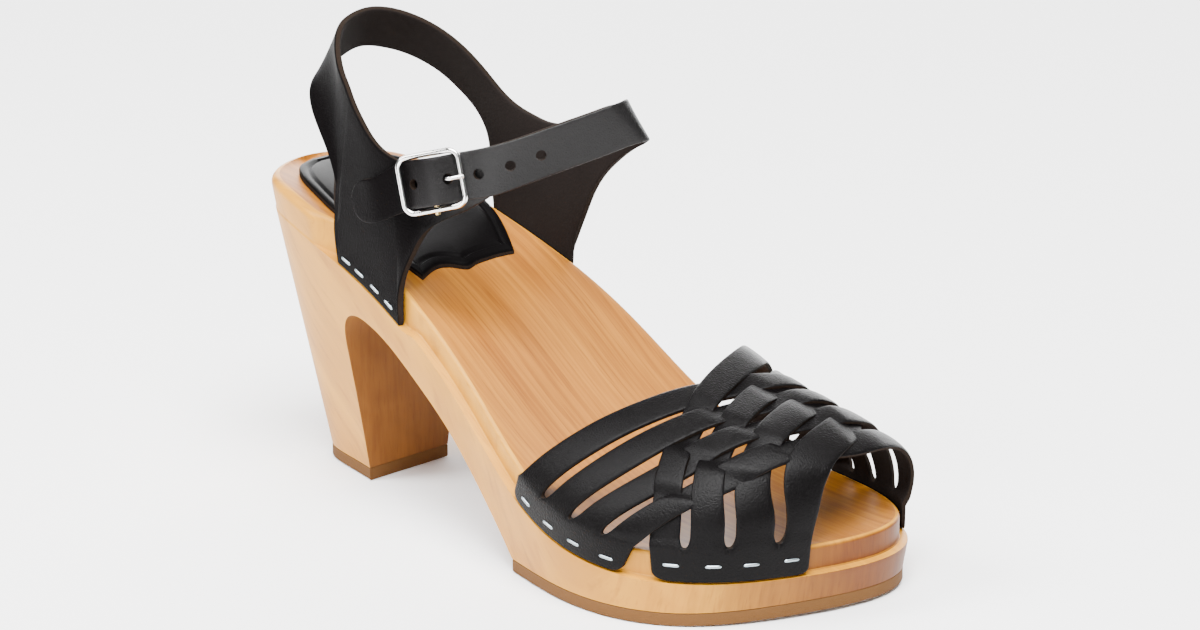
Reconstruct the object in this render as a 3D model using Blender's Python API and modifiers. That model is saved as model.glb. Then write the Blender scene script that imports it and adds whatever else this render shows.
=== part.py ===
"""Clog sandal for the right foot.

A carved wooden sole with its heel in one block, a rubber forefoot outsole and heel lift, a leather heel
pad, a woven leather vamp stapled into a routed ledge, and a heel piece whose ankle strap closes with a
centre-bar buckle. Tables are in millimetres, in the maker's frame: X from the back of the heel to the
toe, Y from the heel's middle line to the inner side of the foot, Z up from the floor.
"""
import math

import bmesh
import bpy
import numpy as np
from mathutils import Matrix, Vector

# Driving sizes, in millimetres
MM = 0.001
PLAN_CENTRE = (115.87, 3.98)
GAP = 0.3
LATERAL, MEDIAL = -1, 1

RUBBER = 3.9
SOLE_BASE = RUBBER + GAP
TOE_SPRING = 0.8
TOE_SPRING_X = (200.0, 228.0)
LEDGE_HEIGHT = 7.4
LEDGE_DEPTH = 2.6
LEDGE_FALL = 0.4
LEDGE_DIP = 2.6
LEDGE_DIP_X = (85.4, 92.0)
LEDGE_RUN_OUT_X = (40.0, 50.0)
LEDGE_LEAST = 0.1
EDGE_ROUND = 1.2
EDGE_BREAK = 0.3
HEEL_EDGE_ROUND = 3.2
FOOTBED_DISH = 1.6
FOOTBED_INSET = 2.3
HEEL_FRONT_X = 52.4
OUTSOLE_REAR_X = 139.5
SAW_SIDE = 80
SAW_BELOW = 20
SAW_ENDS = (-40, 260)
SOLE_STEPS = 4
SLAB_STEPS = 3
BED_STEPS = 8

LEATHER = 2.0
PAD = 2.0
PAD_GAP = 0.6
PAD_LINES, PAD_COLUMNS = 12, 13
PAD_CROWD = 1.3
PAD_PULL = 4
WEAVE = 0.62
STRIPS = 4
SLIT_SHARE = 0.25
SLIT_START = 0.018
SLIT_ROUND = 0.04
SLIT_STEPS = (0, 0.15, 0.5, 1, 1.7, 2.4)
WEAVE_MIDDLE = (0.15, 0.85, 18)
LIFT_HOLD = 0.2
LIFT_CLEAR = 0.07
LIFT_RUN = 0.12
BULGE_RISE = 0.7
TOE_BUNCH = 0.36
TOE_BUNCH_T = (0.05, 0.4)
TAB_RATE = 155.0
TAB_END = 7.0 / TAB_RATE
LEDGE_CLEAR = 0.8
VAMP_RISE = 1.0

STRAP_HOLE = 3.2
HOLE_PITCH = 9.8
BUCKLE_SIZE = (18.4, 16.6)
BUCKLE_CORNER = 3.0
CORNER_STEPS = 5
BUCKLE_WIRE = 1.7
BUCKLE_CENTRE = (95.7, -27.6, 107.3)
BUCKLE_HEADING = math.radians(37.6)
BUCKLE_TILT = math.radians(13)
BUCKLE_LEAN = math.radians(-14)
BUCKLE_STRAP = 13.6
STRAP_UNDER = 0.5
STRAP_OVER = 0.1
PRONG_WIRE = 1.3
PRONG_REST = (BUCKLE_WIRE + PRONG_WIRE) / 2 + GAP

# Prong from the bar through the strap to the frame: along the strap, out from the buckle's plane
PRONG_PATH = [(1.9, -1.2), (3.1, -0.7), (4.2, 0.6), (5.3, 2.1), (6.7, 2.5), (9.2, PRONG_REST + 0.2),
              (10.4, PRONG_REST)]

# Plan of the sole: wall top x, wall top y, floor x, floor y
HEEL_BACK = (1.5, 1.0, 22.0, 0.5)
TOE_TIP = (229.8, 24.0, 228.0, 24.0)
LATERAL_ROWS = [
    (5.5, -12.5, 23.0, -5.0), (14.5, -22.5, 27.0, -9.5), (32.0, -28.8, 36.0, -12.6),
    (58.0, -31.2, 54.0, -16.5), (90.0, -32.8, 92.0, -27.0), (118.0, -36.0, 119.0, -32.0),
    (145.0, -41.8, 145.0, -38.0), (170.0, -44.8, 169.5, -42.2), (192.0, -41.5, 191.0, -39.0),
    (209.8, -29.0, 207.5, -27.5), (222.0, -8.0, 219.5, -7.5)]
MEDIAL_ROWS = [
    (5.5, 14.5, 23.0, 6.0), (14.5, 24.0, 27.0, 10.5), (32.0, 29.8, 36.0, 13.2),
    (58.0, 32.2, 54.0, 16.5), (90.0, 37.8, 92.0, 31.0), (118.0, 43.8, 119.0, 40.0),
    (145.0, 47.4, 145.0, 44.0), (170.0, 51.2, 169.5, 48.2), (192.0, 52.8, 191.0, 49.8),
    (210.0, 50.6, 208.5, 48.0), (224.0, 42.2, 222.3, 41.0)]

# Side profile of the footbed's rim: x, z
RIM = [(0, 91.2), (27, 90.1), (45, 86.2), (62, 81), (86.5, 70), (104.5, 59.2), (126.5, 44), (145, 33),
       (160, 27), (175, 23.8), (195, 21.8), (230, 20.4)]

# Arch sawn across the sole, from the heel's front face to the forefoot: x, z
ARCH = [(HEEL_FRONT_X, 0), (52.1, 25), (51.4, 42), (51.6, 50), (54.4, 55.4), (60, 57.5), (68, 56.4),
        (78, 52.6), (91, 45.3), (106, 35.5), (122, 21.6), (135, 8.8), (141.5, 1)]

# Heel pad: x, lateral y, medial y; then its scalloped front edge: share across, x
PAD_ROWS = [(10, -1.6, 3.6), (12, -6.2, 8.4), (16.5, -12, 14.4), (24, -16.8, 19.2), (34, -20.3, 22.5),
            (46, -23, 24.8), (58, -23.5, 26), (68, -22, 24.2), (80, -19, 18.6)]
PAD_FRONT = [(0, 81.5), (0.12, 79.6), (0.28, 78.4), (0.41, 80), (0.49, 81.3), (0.57, 80.7),
             (0.7, 80.2), (0.86, 80.3), (1, 81)]

# Vamp sections over the last: x, crown y, crown z, lateral fullness, medial fullness, medial bulge
VAMP_ROWS = [(140, 22, 70, 1.62, 1.9, 0), (165, 24, 64.3, 1.68, 1.55, 0), (190, 24.5, 56.4, 1.8, 1.4, 0),
             (207, 24, 52.3, 2.0, 1.55, 0.8), (220, 23, 45.7, 2.3, 2.1, 4.8), (227, 23, 41, 2.4, 2.8, 4.7)]

# Rear and front edge of the two woven pieces: share across the foot, A rear, A front, B rear, B front
WEAVE_ROWS = [(0, 147, 192.4, 197, 223.2), (0.1, 153, 200.5, 195, 223.6), (0.2, 160.8, 210, 189.5, 223.4),
              (0.3, 169, 215, 182.3, 222.7), (0.4, 177.5, 220.5, 175.3, 221.5),
              (0.5, 186, 223, 171.8, 219.6), (0.7, 186.8, 222, 164, 207), (1, 185, 219.5, 151.5, 183)]


# Curves

def natural_cubic(knots, values):
    """Natural cubic spline through rows of values, as a function of the knot parameter."""
    t = np.asarray(knots, float)
    q = np.asarray(values, float).reshape(len(t), -1)
    h = np.diff(t)
    system = np.eye(len(t))
    right = np.zeros_like(q)
    for i in range(1, len(t) - 1):
        system[i, i - 1:i + 2] = h[i - 1], 2 * (h[i - 1] + h[i]), h[i]
        right[i] = 6 * ((q[i + 1] - q[i]) / h[i] - (q[i] - q[i - 1]) / h[i - 1])
    bend = np.linalg.solve(system, right)

    def at(u):
        u = np.asarray(u, float)
        k = np.clip(np.searchsorted(t, u, side="right") - 1, 0, len(t) - 2)
        w = ((u - t[k]) / h[k])[..., None]
        v = 1 - w
        curve = ((v**3 - v) * bend[k] + (w**3 - w) * bend[k + 1]) * (h[k]**2)[..., None] / 6
        return v * q[k] + w * q[k + 1] + curve
    return at


def curve_through(rows, steps, closed=False):
    """Smooth curve through the rows, with the given number of steps in each span."""
    q = np.asarray(rows, float)
    first, last = 0, len(q) - 1
    if closed:
        q = np.vstack([q[-3:], q, q[:4]])
        first, last = 3, 3 + len(rows)
    chords = np.linalg.norm(np.diff(q, axis=0), axis=1)
    t = np.concatenate([[0], np.cumsum(np.sqrt(chords))])
    spans = [np.linspace(t[k], t[k + 1], steps, endpoint=False) for k in range(first, last)]
    u = np.concatenate(spans)
    if not closed:
        u = np.append(u, t[last])
    return natural_cubic(t, q)(u)


def broken_curve(rows, steps, corners):
    """Curve through the rows that keeps the named rows as sharp corners."""
    marks = [0, *corners, len(rows) - 1]
    runs = [curve_through(rows[a:b + 1], steps) for a, b in zip(marks, marks[1:])]
    return np.vstack([runs[0]] + [run[1:] for run in runs[1:]])


def smooth_step(low, high, value):
    u = np.clip((np.asarray(value, float) - low) / (high - low), 0, 1)
    return u * u * (3 - 2 * u)


RIM_CURVE = natural_cubic([row[0] for row in RIM], [row[1] for row in RIM])


def rim_height(x):
    return RIM_CURVE(x)[..., 0]


def sole_outline(steps):
    return curve_through([HEEL_BACK, *LATERAL_ROWS, TOE_TIP, *MEDIAL_ROWS[::-1]], steps, closed=True)


def wall_line(outline, drop):
    """Plan points of the outer wall at a drop below the rim, and its outward normals."""
    top, floor = outline[:, :2], outline[:, 2:]
    line = top + (floor - top) * (drop / rim_height(top[:, 0]))[:, None]
    tangent = np.roll(line, -1, axis=0) - np.roll(line, 1, axis=0)
    normal = np.stack([tangent[:, 1], -tangent[:, 0]], axis=1)
    return line, normal / np.linalg.norm(normal, axis=1, keepdims=True)


def ledge_drop(x):
    """Height of the routed wall between the rim and the ledge, which is taller beside the quarters."""
    return LEDGE_HEIGHT + LEDGE_DIP * (1 - smooth_step(*LEDGE_DIP_X, x))


def leather_half(side, steps=24):
    """Plan line of the middle of the leather that stands on the ledge, on one side of the shoe."""
    outline = sole_outline(steps)
    line, normal = wall_line(outline, ledge_drop(outline[:, 0]))
    line = line - normal * LEATHER / 2
    toe = steps * (1 + len(LATERAL_ROWS))
    half = line[:toe + 1] if side == LATERAL else np.vstack([line[:1], line[:toe - 1:-1]])
    return half[:np.argmax(half[:, 0]) + 1]


LEATHER_HALF = {side: leather_half(side) for side in (LATERAL, MEDIAL)}


def leather_y(side, x):
    half = LEATHER_HALF[side]
    return np.interp(x, half[:, 0], half[:, 1])


def on_ledge(side, x):
    """Lower edge of the leather, just clear of the ledge."""
    return (x, float(leather_y(side, x)), float(rim_height(x) - ledge_drop(x)) + LEDGE_CLEAR)


# Scene and mesh helpers

def clear_scene():
    for obj in list(bpy.data.objects):
        bpy.data.objects.remove(obj, do_unlink=True)


def new_collection(name):
    collection = bpy.data.collections.new(name)
    bpy.context.scene.collection.children.link(collection)
    return collection


def material(name, colour, roughness, metallic=0.0):
    made = bpy.data.materials.new(name)
    made.use_nodes = True
    shader = made.node_tree.nodes["Principled BSDF"]
    shader.inputs["Base Color"].default_value = (*colour, 1.0)
    shader.inputs["Roughness"].default_value = roughness
    shader.inputs["Metallic"].default_value = metallic
    return made


def add_mesh(bm, points):
    return [bm.verts.new(Vector(point) * MM) for point in points]


def add_object(name, bm, finish=None):
    """Object of the mesh, hung on the shoe's empty; with no finish it is a cutter."""
    bmesh.ops.recalc_face_normals(bm, faces=bm.faces)
    mesh = bpy.data.meshes.new(name)
    bm.to_mesh(mesh)
    bm.free()
    return place(bpy.data.objects.new(name, mesh), finish)


def place(obj, finish=None):
    obj.parent = SHOE
    if finish is None:
        CUTTERS.objects.link(obj)
        obj.hide_render = True
        obj.display_type = "WIRE"
    else:
        PARTS.objects.link(obj)
        obj.data.materials.append(finish)
        smooth(obj)
    return obj


def smooth(obj, angle=35):
    if obj.type == "MESH":
        obj.data.shade_smooth()
        obj.data.set_sharp_from_angle(angle=math.radians(angle))


def boolean(obj, other, operation="DIFFERENCE"):
    modifier = obj.modifiers.new(other.name, "BOOLEAN")
    modifier.operation = operation
    modifier.object = other


def solidify(obj, thickness):
    modifier = obj.modifiers.new("thickness", "SOLIDIFY")
    modifier.thickness = thickness * MM
    modifier.offset = 0
    modifier.use_even_offset = True


def bridge(bm, first, second, closed=False):
    """Quads between two rows of vertices."""
    count = len(first) if closed else len(first) - 1
    for i in range(count):
        j = (i + 1) % len(first)
        corners = dict.fromkeys((first[i], first[j], second[j], second[i]))
        if len(corners) > 2:
            bm.faces.new(list(corners))


def grid_object(name, rows, finish=None):
    """Open sheet through rows of points; neighbouring rows that meet are welded."""
    bm = bmesh.new()
    for strip in rows:
        lines = [add_mesh(bm, line) for line in strip]
        for first, second in zip(lines, lines[1:]):
            bridge(bm, first, second)
    bmesh.ops.remove_doubles(bm, verts=bm.verts, dist=0.01 * MM)
    return add_object(name, bm, finish)


def prism(name, profile, depth, axis, finish=None):
    """Closed solid: a flat outline drawn along an axis."""
    bm = bmesh.new()
    face = bm.faces.new(add_mesh(bm, profile))
    drawn = bmesh.ops.extrude_face_region(bm, geom=[face])
    moved = [item for item in drawn["geom"] if isinstance(item, bmesh.types.BMVert)]
    bmesh.ops.translate(bm, verts=moved, vec=Vector(axis) * depth * MM)
    return add_object(name, bm, finish)


def wire(name, points, diameter, closed, finish):
    """Round wire along a list of points, as a mesh with its ends closed."""
    curve = bpy.data.curves.new(name, "CURVE")
    curve.dimensions = "3D"
    curve.bevel_depth = diameter / 2 * MM
    curve.bevel_resolution = 2
    curve.use_fill_caps = True
    spline = curve.splines.new("POLY")
    spline.points.add(len(points) - 1)
    for knot, point in zip(spline.points, points):
        knot.co = (*(Vector(point) * MM), 1.0)
    spline.use_cyclic_u = closed
    guide = bpy.data.objects.new(name + "_guide", curve)
    CUTTERS.objects.link(guide)
    mesh = bpy.data.meshes.new_from_object(guide.evaluated_get(bpy.context.evaluated_depsgraph_get()))
    bpy.data.objects.remove(guide, do_unlink=True)
    bm = bmesh.new()
    bm.from_mesh(mesh)
    bpy.data.meshes.remove(mesh)
    bmesh.ops.remove_doubles(bm, verts=bm.verts, dist=0.001 * MM)
    return add_object(name, bm, finish)


# Wooden sole and rubber

def toe_lift(x):
    return TOE_SPRING * smooth_step(*TOE_SPRING_X, x)


def sole_rings(outline):
    """Rings round the sole from the footbed's edge, over the ledge, to its base."""
    x = outline[:, 0]
    ledge = np.maximum(smooth_step(*LEDGE_RUN_OUT_X, x), LEDGE_LEAST)
    depth = LEDGE_DEPTH * ledge
    edge = EDGE_ROUND + (HEEL_EDGE_ROUND - EDGE_ROUND) * (1 - ledge)
    flat = np.zeros_like(x)
    ledge_height = ledge_drop(x)
    levels = [(depth + edge, flat), (depth + EDGE_BREAK * edge, EDGE_BREAK * edge), (depth, edge),
              (depth, ledge_height), (flat, ledge_height + LEDGE_FALL)]
    foot, _ = wall_line(outline, ledge_height)
    rings = []
    for inset, drop in levels:
        line, normal = wall_line(outline, drop)
        upright = line + (foot - line) * ledge[:, None]
        plan = upright - normal * inset[:, None]
        rings.append(np.column_stack([plan, rim_height(x) - drop]))
    base = SOLE_BASE + toe_lift(outline[:, 2])
    rings.append(np.column_stack([outline[:, 2:], base]))
    return rings


def across(bm, ring, steps, dish=0.0):
    """Close a ring with lines from its lateral to its medial side; `dish` sinks their middles."""
    half = len(ring) // 2
    shares = np.linspace(0, 1, steps + 1)[1:-1]
    lines = [[ring[0]] * (steps + 1)]
    for k in range(1, half):
        near, far = ring[k], ring[-k]
        inner = [near.co.lerp(far.co, s) - Vector((0, 0, 4 * s * (1 - s) * dish * MM)) for s in shares]
        lines.append([near, *[bm.verts.new(co) for co in inner], far])
    lines.append([ring[half]] * (steps + 1))
    for first, second in zip(lines, lines[1:]):
        bridge(bm, first, second)


def make_sole(wood):
    bm = bmesh.new()
    rings = [add_mesh(bm, ring) for ring in sole_rings(sole_outline(SOLE_STEPS))]
    for upper, lower in zip(rings, rings[1:]):
        bridge(bm, upper, lower, closed=True)
    across(bm, rings[0], BED_STEPS, FOOTBED_DISH)
    across(bm, rings[-1], 1)
    sole = add_object("wood_sole", bm, wood)
    arch = curve_through(ARCH, SOLE_STEPS)
    below = [(ARCH[-1][0], -SAW_BELOW), (ARCH[0][0], -SAW_BELOW)]
    profile = [(x, -SAW_SIDE, z) for x, z in [*arch, *below]]
    boolean(sole, prism("arch_saw", profile, 2 * SAW_SIDE, (0, 1, 0)))


def floor_slab(name, finish):
    outline = sole_outline(SLAB_STEPS)
    lift = toe_lift(outline[:, 2])
    bm = bmesh.new()
    top = add_mesh(bm, np.column_stack([outline[:, 2:], RUBBER + lift]))
    bottom = add_mesh(bm, np.column_stack([outline[:, 2:], lift]))
    bridge(bm, top, bottom, closed=True)
    across(bm, top, 1)
    across(bm, bottom, 1)
    return add_object(name, bm, finish)


def make_rubber(rubber):
    rear, front = SAW_ENDS
    for low, high, name in ((rear, OUTSOLE_REAR_X, "outsole_forefoot"), (HEEL_FRONT_X, front, "heel_lift")):
        slab = floor_slab(name, rubber)
        corners = ((low, -SAW_SIDE), (high, -SAW_SIDE), (high, SAW_SIDE), (low, SAW_SIDE))
        box = [(x, y, -SAW_BELOW) for x, y in corners]
        boolean(slab, prism(name + "_saw", box, 2 * SAW_BELOW, (0, 0, 1)))


# Heel pad

def footbed(x, y):
    low, high = leather_y(LATERAL, x) + FOOTBED_INSET, leather_y(MEDIAL, x) - FOOTBED_INSET
    share = np.clip((y - low) / (high - low), 0, 1)
    return rim_height(x) - 4 * share * (1 - share) * FOOTBED_DISH


def make_pad(leather):
    sides = natural_cubic([row[0] for row in PAD_ROWS], [row[1:] for row in PAD_ROWS])
    front = natural_cubic([row[0] for row in PAD_FRONT], [row[1] for row in PAD_FRONT])
    rear, nominal = PAD_ROWS[0][0], PAD_ROWS[-1][0]
    shares = np.linspace(0, 1, PAD_COLUMNS)
    lines = []
    for along in np.linspace(0, 1, PAD_LINES):
        station = rear + (nominal - rear) * along**PAD_CROWD
        low, high = sides(station)
        y = low + (high - low) * shares
        x = station + (front(shares)[:, 0] - nominal) * along**PAD_PULL
        lines.append(np.column_stack([x, y, footbed(x, y) + PAD_GAP + PAD / 2]))
    solidify(grid_object("insole_pad", [lines], leather), PAD)


# Woven vamp

VAMP_SECTION = natural_cubic([row[0] for row in VAMP_ROWS], [row[1:] for row in VAMP_ROWS])
WEAVE_EDGES = natural_cubic([row[0] for row in WEAVE_ROWS], [row[1:] for row in WEAVE_ROWS])


def flank(angle, fullness):
    return 1 - np.cos(angle)**(2 / fullness), np.sin(angle)**(2 / fullness)


def vamp_point(x, t):
    """Point over the last: t runs 0 to 1 from the lateral to the medial rim, and past it down the tab."""
    x, t = np.broadcast_arrays(np.asarray(x, float), np.asarray(t, float))
    crown_y, crown_z, full_lateral, full_medial, bulge = np.moveaxis(VAMP_SECTION(x), -1, 0)
    base = rim_height(x) + VAMP_RISE
    belly = bulge * np.sin(np.pi * np.clip(2 - 2 * t, 0, 1)**BULGE_RISE)
    out_l, up_l = flank(np.clip(t, 0, 0.5) * np.pi, full_lateral)
    out_m, up_m = flank(np.clip(1 - t, 0, 0.5) * np.pi, full_medial)
    low_y, high_y = leather_y(LATERAL, x), leather_y(MEDIAL, x)
    y = np.where(t < 0.5, low_y + (crown_y - low_y) * out_l, high_y + (crown_y - high_y) * out_m + belly)
    tab = np.maximum(np.maximum(-t, t - 1), 0) * (TAB_RATE + VAMP_RISE / TAB_END)
    return np.stack([x, y, base + (crown_z - base) * np.where(t < 0.5, up_l, up_m) - tab], axis=-1)


def vamp_normal(x, t):
    step = 0.004
    inside = np.clip(t, step, 1 - step)
    along = vamp_point(x + 0.5, inside) - vamp_point(x - 0.5, inside)
    over = vamp_point(x, inside + step) - vamp_point(x, inside - step)
    normal = np.cross(along, over)
    return normal / np.linalg.norm(normal, axis=-1, keepdims=True)


def weave_x(piece, share, t):
    """Place along the foot of a line at a share of the width of woven piece 0 or 1."""
    edges = WEAVE_EDGES(t)
    rear, front = edges[..., 2 * piece], edges[..., 2 * piece + 1]
    bunch = 1 + TOE_BUNCH * piece * (1 - smooth_step(*TOE_BUNCH_T, t))
    return rear + (front - rear) * (1 - (1 - share)**bunch)


def strip_shares(strip, opening=1.0):
    """Rear and front edge of a strip; the slits beside it close as `opening` goes to 0."""
    pitch = 1 / (STRIPS - SLIT_SHARE)
    half_slit = (1 - opening) * SLIT_SHARE / 2 * pitch
    rear = strip * pitch - (half_slit if strip > 0 else 0)
    front = (strip + 1 - SLIT_SHARE) * pitch + (half_slit if strip < STRIPS - 1 else 0)
    return rear, front


def crossings(piece, strip):
    """Where a strip crosses the other piece's strips, and the side that it passes on."""
    t = np.linspace(0.05, 0.98, 500)
    own = weave_x(piece, sum(strip_shares(strip)) / 2, t)
    found = []
    for other in range(STRIPS):
        apart = own - weave_x(1 - piece, sum(strip_shares(other)) / 2, t)
        over = 1 if (strip + other + piece) % 2 else -1
        found.append((t[np.argmin(abs(apart))], over))
    return sorted(found)


def weave_lift(piece, strip, t):
    """Height of a strip over the last as it passes over and under the strips that it crosses."""
    knots = crossings(piece, strip)
    first, last = knots[0][0], knots[-1][0]
    rise_end = max(SLIT_START + LIFT_RUN / 4, first - LIFT_CLEAR)
    fall_start = min(1 - SLIT_START - LIFT_RUN / 4, last + LIFT_CLEAR)
    lift = knots[0][1] * smooth_step(max(SLIT_START, rise_end - LIFT_RUN), rise_end, t)
    for (a, side_a), (b, side_b) in zip(knots, knots[1:]):
        hold = LIFT_HOLD * (b - a)
        lift = lift + (side_b - side_a) * smooth_step(a + hold, b - hold, t)
    return WEAVE * lift * (1 - smooth_step(fall_start, min(1 - SLIT_START, fall_start + LIFT_RUN), t))


def slit_opening(t):
    """0 in the tabs and 1 along the slits, with round slit ends."""
    end = np.clip((np.minimum(t, 1 - t) - SLIT_START) / SLIT_ROUND, 0, 1)
    return np.sqrt(1 - (1 - end)**2)


def weave_stations():
    near = np.array([-TAB_END, -TAB_END / 2, 0, *(SLIT_START + SLIT_ROUND * np.array(SLIT_STEPS))])
    return np.concatenate([near, np.linspace(*WEAVE_MIDDLE), 1 - near[::-1]])


def weave_sheet(name, piece, finish=None):
    t = weave_stations()
    opening = slit_opening(t)
    strips = []
    for strip in range(STRIPS):
        rear, front = strip_shares(strip, opening)
        lift = weave_lift(piece, strip, t)
        lines = []
        for share in (rear, (rear + front) / 2, front):
            x = weave_x(piece, share, t)
            welded = np.where(opening > 0, lift, 0)
            lines.append(vamp_point(x, t) + vamp_normal(x, t) * welded[:, None])
        strips.append(lines)
    sheet = grid_object(name, strips, finish)
    solidify(sheet, LEATHER)
    return sheet


def make_vamp(leather):
    vamp = weave_sheet("upper_vamp", 0, leather)
    boolean(vamp, weave_sheet("woven_piece_b", 1), "UNION")


# Buckle frame, and the ankle strap's way under its sides and over its bar

def buckle_axes():
    """Along the strap, up the frame, and out from the foot."""
    level = Vector((math.cos(BUCKLE_HEADING), math.sin(BUCKLE_HEADING), 0))
    out = level.cross(Vector((0, 0, 1)))
    along = level * math.cos(BUCKLE_TILT) + Vector((0, 0, math.sin(BUCKLE_TILT)))
    up = out.cross(along)
    lean = Matrix.Rotation(BUCKLE_LEAN, 3, along)
    return along, lean @ up, lean @ out


def buckle_point(along_mm, out_mm, up_mm=0.0):
    """Point given along the strap, out from the foot and up, from the middle of the buckle."""
    along, up, out = buckle_axes()
    return Vector(BUCKLE_CENTRE) + along * along_mm + out * out_mm + up * up_mm


def strap_row(side):
    """Lower and upper edge of the strap under the frame's front (1) or rear (-1) bar, or over the bar (0)."""
    clear = (BUCKLE_WIRE + LEATHER) / 2 + GAP
    along_mm, out_mm = side * BUCKLE_SIZE[0] / 2, -clear - STRAP_UNDER if side else clear + STRAP_OVER
    half = BUCKLE_STRAP / 2
    return tuple(tuple(buckle_point(along_mm, out_mm, up_mm)) for up_mm in (-half, half))


# Heel piece: lower and upper edge from the buckle tab round the heel to the tip of the ankle strap

HEEL_PIECE = [
    ((104.0, -12.2, 101.3), (103.2, -12.8, 111.0)),
    ((98.1, -17.0, 96.9), (98.4, -16.7, 112.0)),
    ((93.3, -26.4, 92.1), (93.2, -21.5, 112.0)),
    ((90.1, -30.0, 84.6), (88.8, -25.2, 111.6)),
    ((86.8, -31.0, 76.9), (86.0, -27.2, 111.2)),
    ((85.2, -31.4, 69.0), (84.2, -28.4, 111.2)),
    (on_ledge(LATERAL, 84.4), (81.8, -29.6, 112.0)),
    (on_ledge(LATERAL, 74.5), (75.0, -30.6, 115.2)),
    (on_ledge(LATERAL, 64.5), (68.0, -30.6, 121.6)),
    (on_ledge(LATERAL, 54.4), (63.5, -29.9, 126.2)),
    ((53.0, -28.5, 85.2), (60.0, -28.8, 129.7)),
    ((53.9, -29.2, 97.8), (56.0, -27.2, 132.4)),
    ((51.6, -29.1, 106.5), (51.2, -24.5, 135.4)),
    ((42.0, -26.3, 116.0), (45.0, -19.5, 139.0)),
    ((34.0, -20.6, 123.0), (40.0, -13.6, 142.0)),
    ((30.2, -9.5, 128.0), (36.4, -6.0, 143.3)),
    ((28.0, 3.0, 130.5), (35.0, 2.0, 143.6)),
    ((29.6, 11.5, 129.1), (36.5, 8.5, 142.6)),
    ((33.0, 19.0, 126.2), (40.0, 14.5, 140.2)),
    ((39.9, 25.1, 121.3), (46.0, 20.5, 135.8)),
    ((45.5, 28.1, 116.4), (52.5, 25.0, 129.8)),
    ((52.0, 30.0, 110.4), (58.3, 27.9, 123.5)),
    ((57.0, 30.9, 102.0), (64.0, 29.9, 117.6)),
    ((58.8, 30.3, 91.0), (69.0, 31.2, 114.2)),
    (on_ledge(MEDIAL, 61.5), (74.5, 32.3, 112.2)),
    (on_ledge(MEDIAL, 70.0), (80.5, 33.0, 111.0)),
    (on_ledge(MEDIAL, 80.0), (86.4, 33.2, 111.4)),
    (on_ledge(MEDIAL, 87.6), (91.5, 33.2, 112.7)),
    ((89.6, 35.9, 73.0), (96.0, 33.1, 114.3)),
    ((95.4, 34.2, 84.0), (100.5, 32.7, 116.2)),
    ((100.8, 32.8, 92.6), (104.8, 32.0, 118.4)),
    ((105.8, 31.8, 98.7), (109.0, 31.3, 120.7)),
    ((110.6, 31.1, 103.2), (113.0, 30.5, 122.9)),
    ((115.7, 30.2, 107.2), (117.0, 29.8, 125.0)),
    ((121.0, 29.4, 110.8), (119.6, 27.9, 126.2)),
    ((126.2, 28.8, 113.8), (122.2, 25.3, 127.4)),
    ((129.6, 27.6, 115.7), (124.6, 22.4, 128.2)),
    ((130.4, 25.4, 116.2), (125.2, 19.2, 128.1)),
    ((129.2, 22.8, 115.9), (125.1, 16.2, 127.9)),
    ((126.4, 17.0, 114.1), (123.3, 10.9, 126.6)),
    ((122.4, 8.5, 111.5), (120.3, 3.8, 124.7)),
    ((117.6, -0.7, 108.5), (116.2, -3.3, 122.3)),
    ((112.5, -9.7, 105.3), (109.8, -11.3, 119.0)),
    ((108.0, -15.7, 103.0), (103.9, -16.2, 116.8)),
    strap_row(1),
    strap_row(0),
    strap_row(-1),
    ((80.9, -33.3, 93.6), (77.1, -33.6, 106.0)),
    ((74.6, -33.7, 91.6), (71.4, -33.6, 104.0)),
    ((70.4, -33.5, 92.3), (68.3, -33.4, 101.2)),
    ((68.2, -33.3, 94.6), (67.1, -33.3, 98.2))]
QUARTER_FEET = ((6, 9), (24, 27))
HEEL_CORNERS = [row for foot in QUARTER_FEET for row in foot]
KNEE_ABOVE = 0.6
KNEE_SHARE = 0.2
HEEL_SHARES = np.linspace(0, 1, 5)
STRAP_FROM = 39
HEEL_STEPS = 2
PRONG_HOLE = (4.2, 0.6)
HOLES_BEFORE, HOLES_AFTER = 3, 1
PUNCH_DEPTH = 1.6 * LEATHER


def heel_sheet():
    """Lines from the lower to the upper edge; the quarters stand straight up beside the sole's wall."""
    low = broken_curve([row[0] for row in HEEL_PIECE], HEEL_STEPS, HEEL_CORNERS)
    top = curve_through([row[1] for row in HEEL_PIECE], HEEL_STEPS)
    knee_height = LEDGE_HEIGHT + LEDGE_DIP + KNEE_ABOVE
    lines = []
    for index, (a, b) in enumerate(zip(low, top)):
        place_on = index / HEEL_STEPS
        stands = any(first <= place_on <= last for first, last in QUARTER_FEET)
        knee = a + (0, 0, knee_height) if stands else a + (b - a) * KNEE_SHARE
        lines.append([a, *[knee + (b - knee) * share for share in HEEL_SHARES]])
    return np.array(lines)


def strap_frames(sheet):
    """Middle line of the ankle strap and its outward normals."""
    strap = sheet[STRAP_FROM * HEEL_STEPS:]
    middle = (strap[:, 0] + strap[:, -1]) / 2
    along = np.gradient(middle, axis=0)
    normal = np.cross(along, strap[:, -1] - strap[:, 0])
    return middle, normal / np.linalg.norm(normal, axis=1, keepdims=True)


def strap_holes(sheet):
    """Centres and directions of the punched holes, stepped off from the one that holds the prong."""
    middle, normal = strap_frames(sheet)
    run = np.concatenate([[0], np.cumsum(np.linalg.norm(np.diff(middle, axis=0), axis=1))])
    fine = np.linspace(0, run[-1], 400)
    points = np.column_stack([np.interp(fine, run, middle[:, k]) for k in range(3)])
    normals = np.column_stack([np.interp(fine, run, normal[:, k]) for k in range(3)])
    prong = fine[np.argmin(np.linalg.norm(points - buckle_point(*PRONG_HOLE), axis=1))]
    holes = []
    for step in range(-HOLES_BEFORE, HOLES_AFTER + 1):
        k = np.argmin(abs(fine - prong - step * HOLE_PITCH))
        holes.append((Vector(points[k]), Vector(normals[k]).normalized()))
    return holes


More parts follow.
